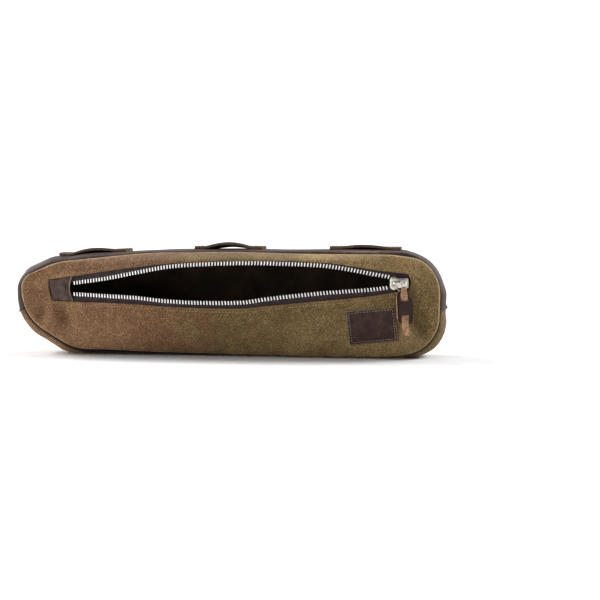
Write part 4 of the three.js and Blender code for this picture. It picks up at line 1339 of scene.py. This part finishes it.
clear_selection()
bpy.ops.mesh.primitive_torus_add(major_radius=RING_RADIUS * MM, minor_radius=RING_WIRE * MM,
                                 major_segments=RING_SEGMENTS, minor_segments=12)
ring = bpy.context.object
split = 2 * math.pi / RING_SEGMENTS
pick_faces(ring, lambda face: 0 < math.atan2(face.center.y, face.center.x) - SPLIT_AT < split)
bpy.ops.mesh.delete(type="FACE")
bpy.ops.mesh.select_all(action="SELECT")
bpy.ops.mesh.fill_holes(sides=0)
turn_outwards()


def moved_and_turned(place, angle, axis):
    """A move in millimetres after a turn."""
    return Matrix.Translation(Vector(place) * MM) @ Matrix.Rotation(angle, 4, axis)


hang = moved_and_turned((RING_RIGHT, 0, -RING_BELOW), math.pi / 2, "X")
swing = moved_and_turned((SLIDER_X, ring_plane, SLIDER_Z), RING_TILT, "X")
ring.data.transform(swing @ hang)
shade_smooth(CAST_CREASE)
ring.data.materials.append(NICKEL_FINISH)
ring.name = ring.data.name = "zip_pull_ring_nickel"
set_piece(ring, "zip_pull_ring")

# %% [markdown]
# ## Zip pull
# The pull is one strip of leather. Its narrow tail goes over the ring with the flesh side out,
# behind the bar of the wide part through two slits, and hangs free below. The tail is a strip swept
# along its route. The wide part is a grid with the slits cut out, thickened by Solidify, and its
# left wing curls towards the viewer.

# %% Route of the tail
PULL_THICKNESS, TAIL_ROUNDING = 1.3, 0.25
PULL_SWAY, PULL_RIGHT = math.radians(-3), 4.5
# How far out and down the tail is, and its width there.
PULL_ROUTE = [
    (1.3, 2.6, 4.6), (-0.4, 1.4, 4.0), (-2.02, 0.0, 3.4), (-1.41, -1.41, 3.4), (0.0, -2.02, 3.6),
    (1.41, -1.41, 3.9), (2.02, 0.0, 4.3), (2.9, 1.5, 4.9), (3.0, 3.0, 5.2), (-0.4, 7.6, 5.2),
    (-0.5, 13.0, 5.2), (-0.4, 18.6, 5.2), (3.0, 23.2, 5.2), (3.3, 26.0, 5.2), (2.5, 34.0, 5.3),
]
hang_down = RING_BELOW + RING_RADIUS
pull_place = (SLIDER_X + PULL_RIGHT, ring_plane + hang_down * math.sin(RING_TILT),
              SLIDER_Z - hang_down * math.cos(RING_TILT))


def smooth_route(rows, steps=5):
    """An open curve through rows of numbers."""
    rows = np.array(rows, dtype=float)
    padded = np.concatenate([rows[:1], rows, rows[-1:]])
    curve = curve_through(padded[:-3], padded[1:-2], padded[2:-1], padded[3:], steps)
    return np.concatenate([curve, rows[-1:]])


def tail_face(side):
    reach = side * (PULL_THICKNESS / 2 - TAIL_ROUNDING * np.abs(strip_across) ** 8)
    out, down, across = strip_face(*tail_route.T, -reach)
    return places(across, -out, -down)


tail_route = smooth_route(PULL_ROUTE)
tail_outside, tail_inside = tail_face(1), tail_face(-1)
print("tail length in millimetres:", round(float(runs_down(tail_route[:, None, :2])[-1, 0]), 1))

# %% Wide part with two slits
KEEPER_OUT, KEEPER_THICKNESS = 1.3, 0.9
KEEPER_TOP, KEEPER_BOTTOM = -0.4, 25.0
SLIT_HALF, SLITS = 3.0, [(2.9, 7.7), (18.5, 23.4)]
LEFT_WING, RIGHT_WING, WING_BEND, WING_DROOP = 3.5, 2.7, 4.0, 0.07
NECK_CORNERS, LEFT_CORNERS, RIGHT_CORNERS = (3.6, 4.2), (6, 6), (4, 5, 5.5)
NECK_LEAST, NECK_GAIN = 0.55, 0.6


def keeper_grid():
    stops = [KEEPER_TOP, *SLITS[0], *SLITS[1], KEEPER_BOTTOM]
    spans = [np.linspace(a, b, 9)[:-1] for a, b in zip(stops, stops[1:])]
    down = np.concatenate([*spans, [KEEPER_BOTTOM]])
    to_top, to_bottom = down - KEEPER_TOP, KEEPER_BOTTOM - down

    def rounded(top_run, bottom_run, top_start=0.0):
        """How wide the leather is, from 0 to 1, with a round corner at each end."""
        short = np.maximum(1 - (to_top - top_start) / top_run, 1 - to_bottom / bottom_run).clip(0)
        return np.sqrt(np.clip(1 - short ** 2, 0.02, 1))

    half = np.minimum(SLIT_HALF, SLIT_HALF * (NECK_LEAST + NECK_GAIN * rounded(*NECK_CORNERS)))
    wing = np.linspace(0, 1, 9)
    left = LEFT_WING * rounded(*LEFT_CORNERS)[:, None] * wing[:0:-1] / WING_BEND
    right = RIGHT_WING * rounded(*RIGHT_CORNERS)[:, None] * wing[1:]
    middle = half[:, None] * np.linspace(-1, 1, 13)
    x = np.concatenate([-half[:, None] - WING_BEND * np.sin(left), middle, half[:, None] + right],
                       axis=1)
    curled = WING_BEND * (1 - np.cos(left))
    out = np.concatenate([curled, 0 * middle, -WING_DROOP * right ** 2], axis=1) + KEEPER_OUT
    return places(x, -out, -down[:, None])


def in_slit(face):
    x, z = face.center.x / MM, face.center.z / MM
    return abs(x) < SLIT_HALF - 0.05 and any(start < -z < end for start, end in SLITS)


keeper_points = keeper_grid()
keeper = sew_sheet("keeper", keeper_points, keeper_points[..., [0, 2]],
                   [LEATHER_FINISH, FLESH_FINISH])
pick_faces(keeper, in_slit)
bpy.ops.mesh.delete(type="FACE")
turn_outwards()
apply_modifier(keeper, "SOLIDIFY", thickness=KEEPER_THICKNESS * MM, offset=0.0,
               material_offset_rim=1)
shade_smooth(50)

# The fold shows the flesh side of the tail, and its grain side lies inside.
tail = sew_wall("tail", tail_outside, tail_inside, [FLESH_FINISH, EDGE_FINISH, LEATHER_FINISH])
pull = join_pieces([keeper, tail], "zip_pull_leather")
pull.data.transform(moved_and_turned(pull_place, PULL_SWAY, "Y"))
set_piece(pull, "zip_pull")

# %% [markdown]
# ## End tab
# A small padded piece of leather fills the left end of the opening and covers the start of the zip.
# Its sides are tucked behind the hem, and its right end is a raw edge, cut in a shallow hollow. A
# painted highlight runs down its middle.

# %% Tab
TAB_FROM, TAB_TO, TAB_ROWS = -142.2, -123.2, 31
TAB_THICKNESS, TAB_PUFF, END_PUFF, SIDE_PUFF, TAB_TUCK = 1.4, 2.2, 0.35, 0.45, 0.1
TAB_SAG, TAB_SLANT, TAB_SINK, TAB_GAP = 2.4, 0.5, 0.35, 0.2
# How much paler the tab is all over, and the painted highlight down its middle.
TAB_RUB, TAB_HIGHLIGHT, HIGHLIGHT_AT, HIGHLIGHT_REACH, RAW_FROM = 0.22, 0.14, 0.62, 0.2, 0.95
TAB_WAVES = Fold(0.15, 7, 9.0)


def tab_faces():
    along, across = np.meshgrid(tab_along, np.linspace(0, 1, 21), indexing="ij")
    start = TAB_FROM + LEFT_LEAN * (1 - 2 * across)
    end = TAB_TO - TAB_SAG * np.sin(np.pi * across) + TAB_SLANT * (1 - 2 * across)
    x = start + (end - start) * along
    low, high = mouth["edge_low"](x) + TAB_GAP, mouth["edge_top"](x) - TAB_GAP
    z = low + (high - low) * across
    sides = np.clip(np.sin(np.pi * across), 0, 1) ** SIDE_PUFF
    tucked = 1 - bump(along, TAB_TUCK)
    puff = TAB_PUFF * sides * tucked * (END_PUFF + (1 - END_PUFF) * np.sin(np.pi * along))
    points = places(x, lip_face(x, 1) + CANVAS - TAB_THICKNESS + TAB_SINK - puff, z)
    points[..., 1] += folds_at(points, TAB_WAVES)
    return points, points + (0, TAB_THICKNESS, 0)


tab_along = np.linspace(0, 1, TAB_ROWS)
tab_outside, tab_inside = tab_faces()
# Rubbed paler all over, with a painted highlight down the puffed middle and a pale raw right end.
tab_rub_and_highlight = TAB_RUB + TAB_HIGHLIGHT * bump(tab_along - HIGHLIGHT_AT, HIGHLIGHT_REACH)
tab_wear_and_highlight = np.where(tab_along > RAW_FROM, 1.0, tab_rub_and_highlight)[:, None]
tab = sew_wall("zip_end_tab_leather", tab_outside, tab_inside,
               [LEATHER_FINISH, EDGE_FINISH, FLESH_FINISH], tab_wear_and_highlight)
set_piece(tab, "zip_end_tab")

# %% [markdown]
# ## Label patch
# A blank rectangle of leather is sewn to the front beside the pull. It is a little stiffer than the
# canvas, so it follows only the broad swell: a curved surface is fitted to the heights below it.
# The stitches pull a shallow furrow round its edge.

# %% Label
LABEL_X, LABEL_Z, LABEL_TURN = 114.5, 26.0, math.radians(5.5)
LABEL_WIDTH, LABEL_HEIGHT, LABEL_THICKNESS = 37.2, 26.6, 1.3
LABEL_MARGIN, LABEL_WORN, CUT_RUN = 1.9, 0.6, 0.3
LABEL_PROUD, HOLLOW_SHARE = 0.1, 0.7
FURROW, CUSHION, CUSHION_RUN = 0.3, 0.25, 5
CRINKLE = Fold(0.12, 3.5, 13.0)
RAY_AHEAD = -200


def canvas_height(x, z):
    _, place, _, _ = front_panel.ray_cast(Vector((x, RAY_AHEAD, z)) * MM, Vector((0, 1, 0)))
    return place.y / MM


def label_grid(columns, rows):
    return np.meshgrid(np.linspace(-0.5, 0.5, columns) * LABEL_WIDTH,
                       np.linspace(-0.5, 0.5, rows) * LABEL_HEIGHT, indexing="ij")


def turned_label(flat_x, flat_z):
    x = LABEL_X + flat_x * math.cos(LABEL_TURN) - flat_z * math.sin(LABEL_TURN)
    z = LABEL_Z + flat_x * math.sin(LABEL_TURN) + flat_z * math.cos(LABEL_TURN)
    return x, z


def bowl(flat_x, flat_z):
    terms = [np.ones_like(flat_x), flat_x, flat_z, flat_x ** 2, flat_x * flat_z, flat_z ** 2]
    return np.stack([term.ravel() for term in terms], axis=1)


probes = label_grid(15, 11)
heights = np.array([canvas_height(x, z) for x, z in zip(*map(np.ravel, turned_label(*probes)))])
swell_terms = np.linalg.lstsq(bowl(*probes), heights, rcond=None)[0]
proud = float(np.max(bowl(*probes) @ swell_terms - heights))
print("the label bridges hollows of", round(proud, 2), "mm")


def label_point(flat_x, flat_z, lift):
    x, z = turned_label(flat_x, flat_z)
    swell = (bowl(flat_x, flat_z) @ swell_terms).reshape(flat_x.shape)
    return places(x, swell - LABEL_PROUD - HOLLOW_SHARE * proud - lift, z)


def label_faces():
    flat_x, flat_z = label_grid(74, 53)
    to_edge = np.minimum(LABEL_WIDTH / 2 - np.abs(flat_x), LABEL_HEIGHT / 2 - np.abs(flat_z))
    furrow = FURROW * bump(to_edge - LABEL_MARGIN, LABEL_WORN)
    rounding = CUT_ROUNDING * bump(to_edge, CUT_RUN)
    cushion = CUSHION * climb(to_edge, LABEL_MARGIN, CUSHION_RUN)
    crinkle = folds_at(places(flat_x, flat_z, 0), CRINKLE)
    outside = label_point(flat_x, flat_z, LABEL_THICKNESS - furrow - rounding + cushion + crinkle)
    return outside, label_point(flat_x, flat_z, 0.0), bump(to_edge, LABEL_WORN)


label_outside, label_inside, label_rub = label_faces()
label = sew_wall("label_patch_leather", label_outside, label_inside,
                 [LEATHER_FINISH, EDGE_FINISH, FLESH_FINISH], label_rub)
set_piece(label, "label_patch")

# %% [markdown]
# ## Stitching
# A machine stitch is a short piece of thread that dives into the cloth at both ends. One stitch is
# a sphere drawn out to that length, so that its ends taper, and it is laid along each seam line, a
# little sunk in. Real seams wander slightly, so each stitch is turned and lengthened by a small
# fixed amount.

# %% One stitch and a line of them
# How far stitches turn and stretch, and how fast that changes from one to the next.
STITCH_TURN, TURN_PACE, STITCH_STRETCH, STRETCH_PACE = 0.1, 2.4, 0.25, 1.7
STITCH_FLATNESS = 0.8
Stitch = namedtuple("Stitch", "length width pitch")


def model_stitch(size, thread):
    clear_selection()
    bpy.ops.mesh.primitive_uv_sphere_add(segments=8, ring_count=6, radius=MM / 2,
                                         rotation=(0, math.pi / 2, 0))
    stitch = bpy.context.object
    bpy.ops.object.transform_apply(location=True, rotation=True, scale=True)
    bpy.ops.object.mode_set(mode="EDIT")
    bpy.ops.mesh.select_all(action="SELECT")
    bpy.ops.transform.resize(value=(size.length, size.width, STITCH_FLATNESS * size.width))
    bpy.ops.object.mode_set(mode="OBJECT")
    bpy.ops.object.shade_smooth()
    stitch.data.materials.append(thread)
    return stitch


def lay_stitches(name, size, thread, frames):
    stitches = lay_copies(model_stitch(size, thread), list(frames), name)
    set_piece(stitches, None)
    return stitches


def stitch_frames(line, normals, pitch):
    """Frames for stitches along a line of points on a surface with the given outward directions."""
    origins, ahead = places_along(line, pitch, pitch / 2)
    nearest = [np.argmin(np.linalg.norm(line - origin, axis=1)) for origin in origins]
    for k, (origin, way, index) in enumerate(zip(origins, ahead, nearest)):
        out = Vector(normals[index])
        across = out.cross(Vector(way)).normalized()
        way = (across.cross(out) + across * STITCH_TURN * math.sin(TURN_PACE * k)).normalized()
        length = 1 + STITCH_STRETCH * math.sin(STRETCH_PACE * k)
        yield frame_matrix(origin, way * length, out.cross(way), out)


print("stitches can be laid")

# %% Stitches round the opening
ZIP_STITCH = Stitch(1.75, 0.55, 2.6)


def beside_rim(grid):
    """What a grid has in each of its columns at the stitch line's distance from the rim."""
    return np.array([[np.interp(HEM_STITCH, from_rim[::-1, k], values[::-1])
                      for values in grid[:, k].T] for k in range(grid.shape[1])])


slot_line = beside_rim(front_outside)
slot_out = unit(beside_rim(front_normals))
zip_frames = stitch_frames(slot_line, slot_out, ZIP_STITCH.pitch)
zip_stitches = lay_stitches("zip_topstitch", ZIP_STITCH, TAN_THREAD, zip_frames)

# %% Stitches round the label
LABEL_STITCH, STITCH_SINK = Stitch(1.6, 0.5, 2.3), 0.2
sew_x, sew_z = LABEL_WIDTH / 2 - LABEL_MARGIN, LABEL_HEIGHT / 2 - LABEL_MARGIN
label_corners = [(-sew_x, -sew_z), (sew_x, -sew_z), (sew_x, sew_z), (-sew_x, sew_z)]
label_frames = []
for start, end in zip(label_corners, label_corners[1:] + label_corners[:1]):
    flat_x, flat_z = [np.linspace(a, b, 60)[:, None] for a, b in zip(start, end)]
    line = label_point(flat_x, flat_z, LABEL_THICKNESS - STITCH_SINK)[:, 0]
    normals = np.tile((0.0, -1.0, 0.0), (len(line), 1))
    label_frames += stitch_frames(line, normals, LABEL_STITCH.pitch)
label_stitches = lay_stitches("label_stitches", LABEL_STITCH, PALE_THREAD, label_frames)

# %% Stitches across the ends of the loops
LOOP_STITCH, STITCH_ROWS = Stitch(1.9, 0.6, 2.8), (4, 8, -5, -9)
for loop in LOOPS:
    outside = loop_outsides[loop.node]
    middle = outside[:, outside.shape[1] // 2]
    frames = []
    for row in STITCH_ROWS:
        line = outside[row, 1:-1]
        out = np.cross(unit(middle[row + 1] - middle[row - 1]), (0.0, 1.0, 0.0))
        normals = np.tile(out * np.sign(out[2]), (len(line), 1))
        frames += stitch_frames(line, normals, LOOP_STITCH.pitch)
    name = loop.node + "_stitches"
    lay_stitches(name, LOOP_STITCH, TAN_THREAD, frames)

# %% [markdown]
# ## What each sheet was cut to
# Every cloth and leather piece was cut flat before it was sewn. Its length and width are the
# longest runs along and across its outer face, and the area is that face's own area, because a cut
# with curved ends or an opening is smaller than its rectangle.


# %% Printing what each sheet was cut to
def face_area(grid):
    """Area of a grid of points, in square millimetres."""
    first, second = grid[1:, 1:] - grid[:-1, :-1], grid[1:, :-1] - grid[:-1, 1:]
    return np.linalg.norm(np.cross(first, second), axis=-1).sum() / 2


def declare_cut(piece, width, length, area):
    area * MM ** 2
    print(f"{piece.name}: cut {length:.0f} x {width:.0f} mm, {area / 100:.1f} square centimetres")


def declare_wall(piece, outer):
    length, width = runs_down(outer).max(), runs_down(outer.swapaxes(0, 1)).max()
    declare_cut(piece, width, length, face_area(outer))


def declare_panel(piece, outer, pattern):
    length, width = np.ptp(pattern.reshape(-1, 2), axis=0)
    declare_cut(piece, width, length, face_area(outer))


declare_panel(front_panel, front_outside, front_pattern)
declare_panel(back_panel, back_outside, back_pattern)
declare_wall(top_gusset, band_outside)
declare_wall(bottom_gusset, base_outside)
for loop in LOOPS:
    declare_wall(loop_pieces[loop.node], loop_outsides[loop.node])
for tape, outside in tapes.values():
    declare_wall(tape, outside)
declare_wall(tab, tab_outside)
declare_wall(label, label_outside)
slit_area = sum(2 * SLIT_HALF * (end - start) for start, end in SLITS)
pull_area = face_area(tail_outside) + face_area(keeper_points) - slit_area
pull_width = runs_down(keeper_points.swapaxes(0, 1)).max()
pull_length = runs_down(tail_outside).max() + KEEPER_BOTTOM - KEEPER_TOP
declare_cut(pull, pull_width, pull_length, pull_area)
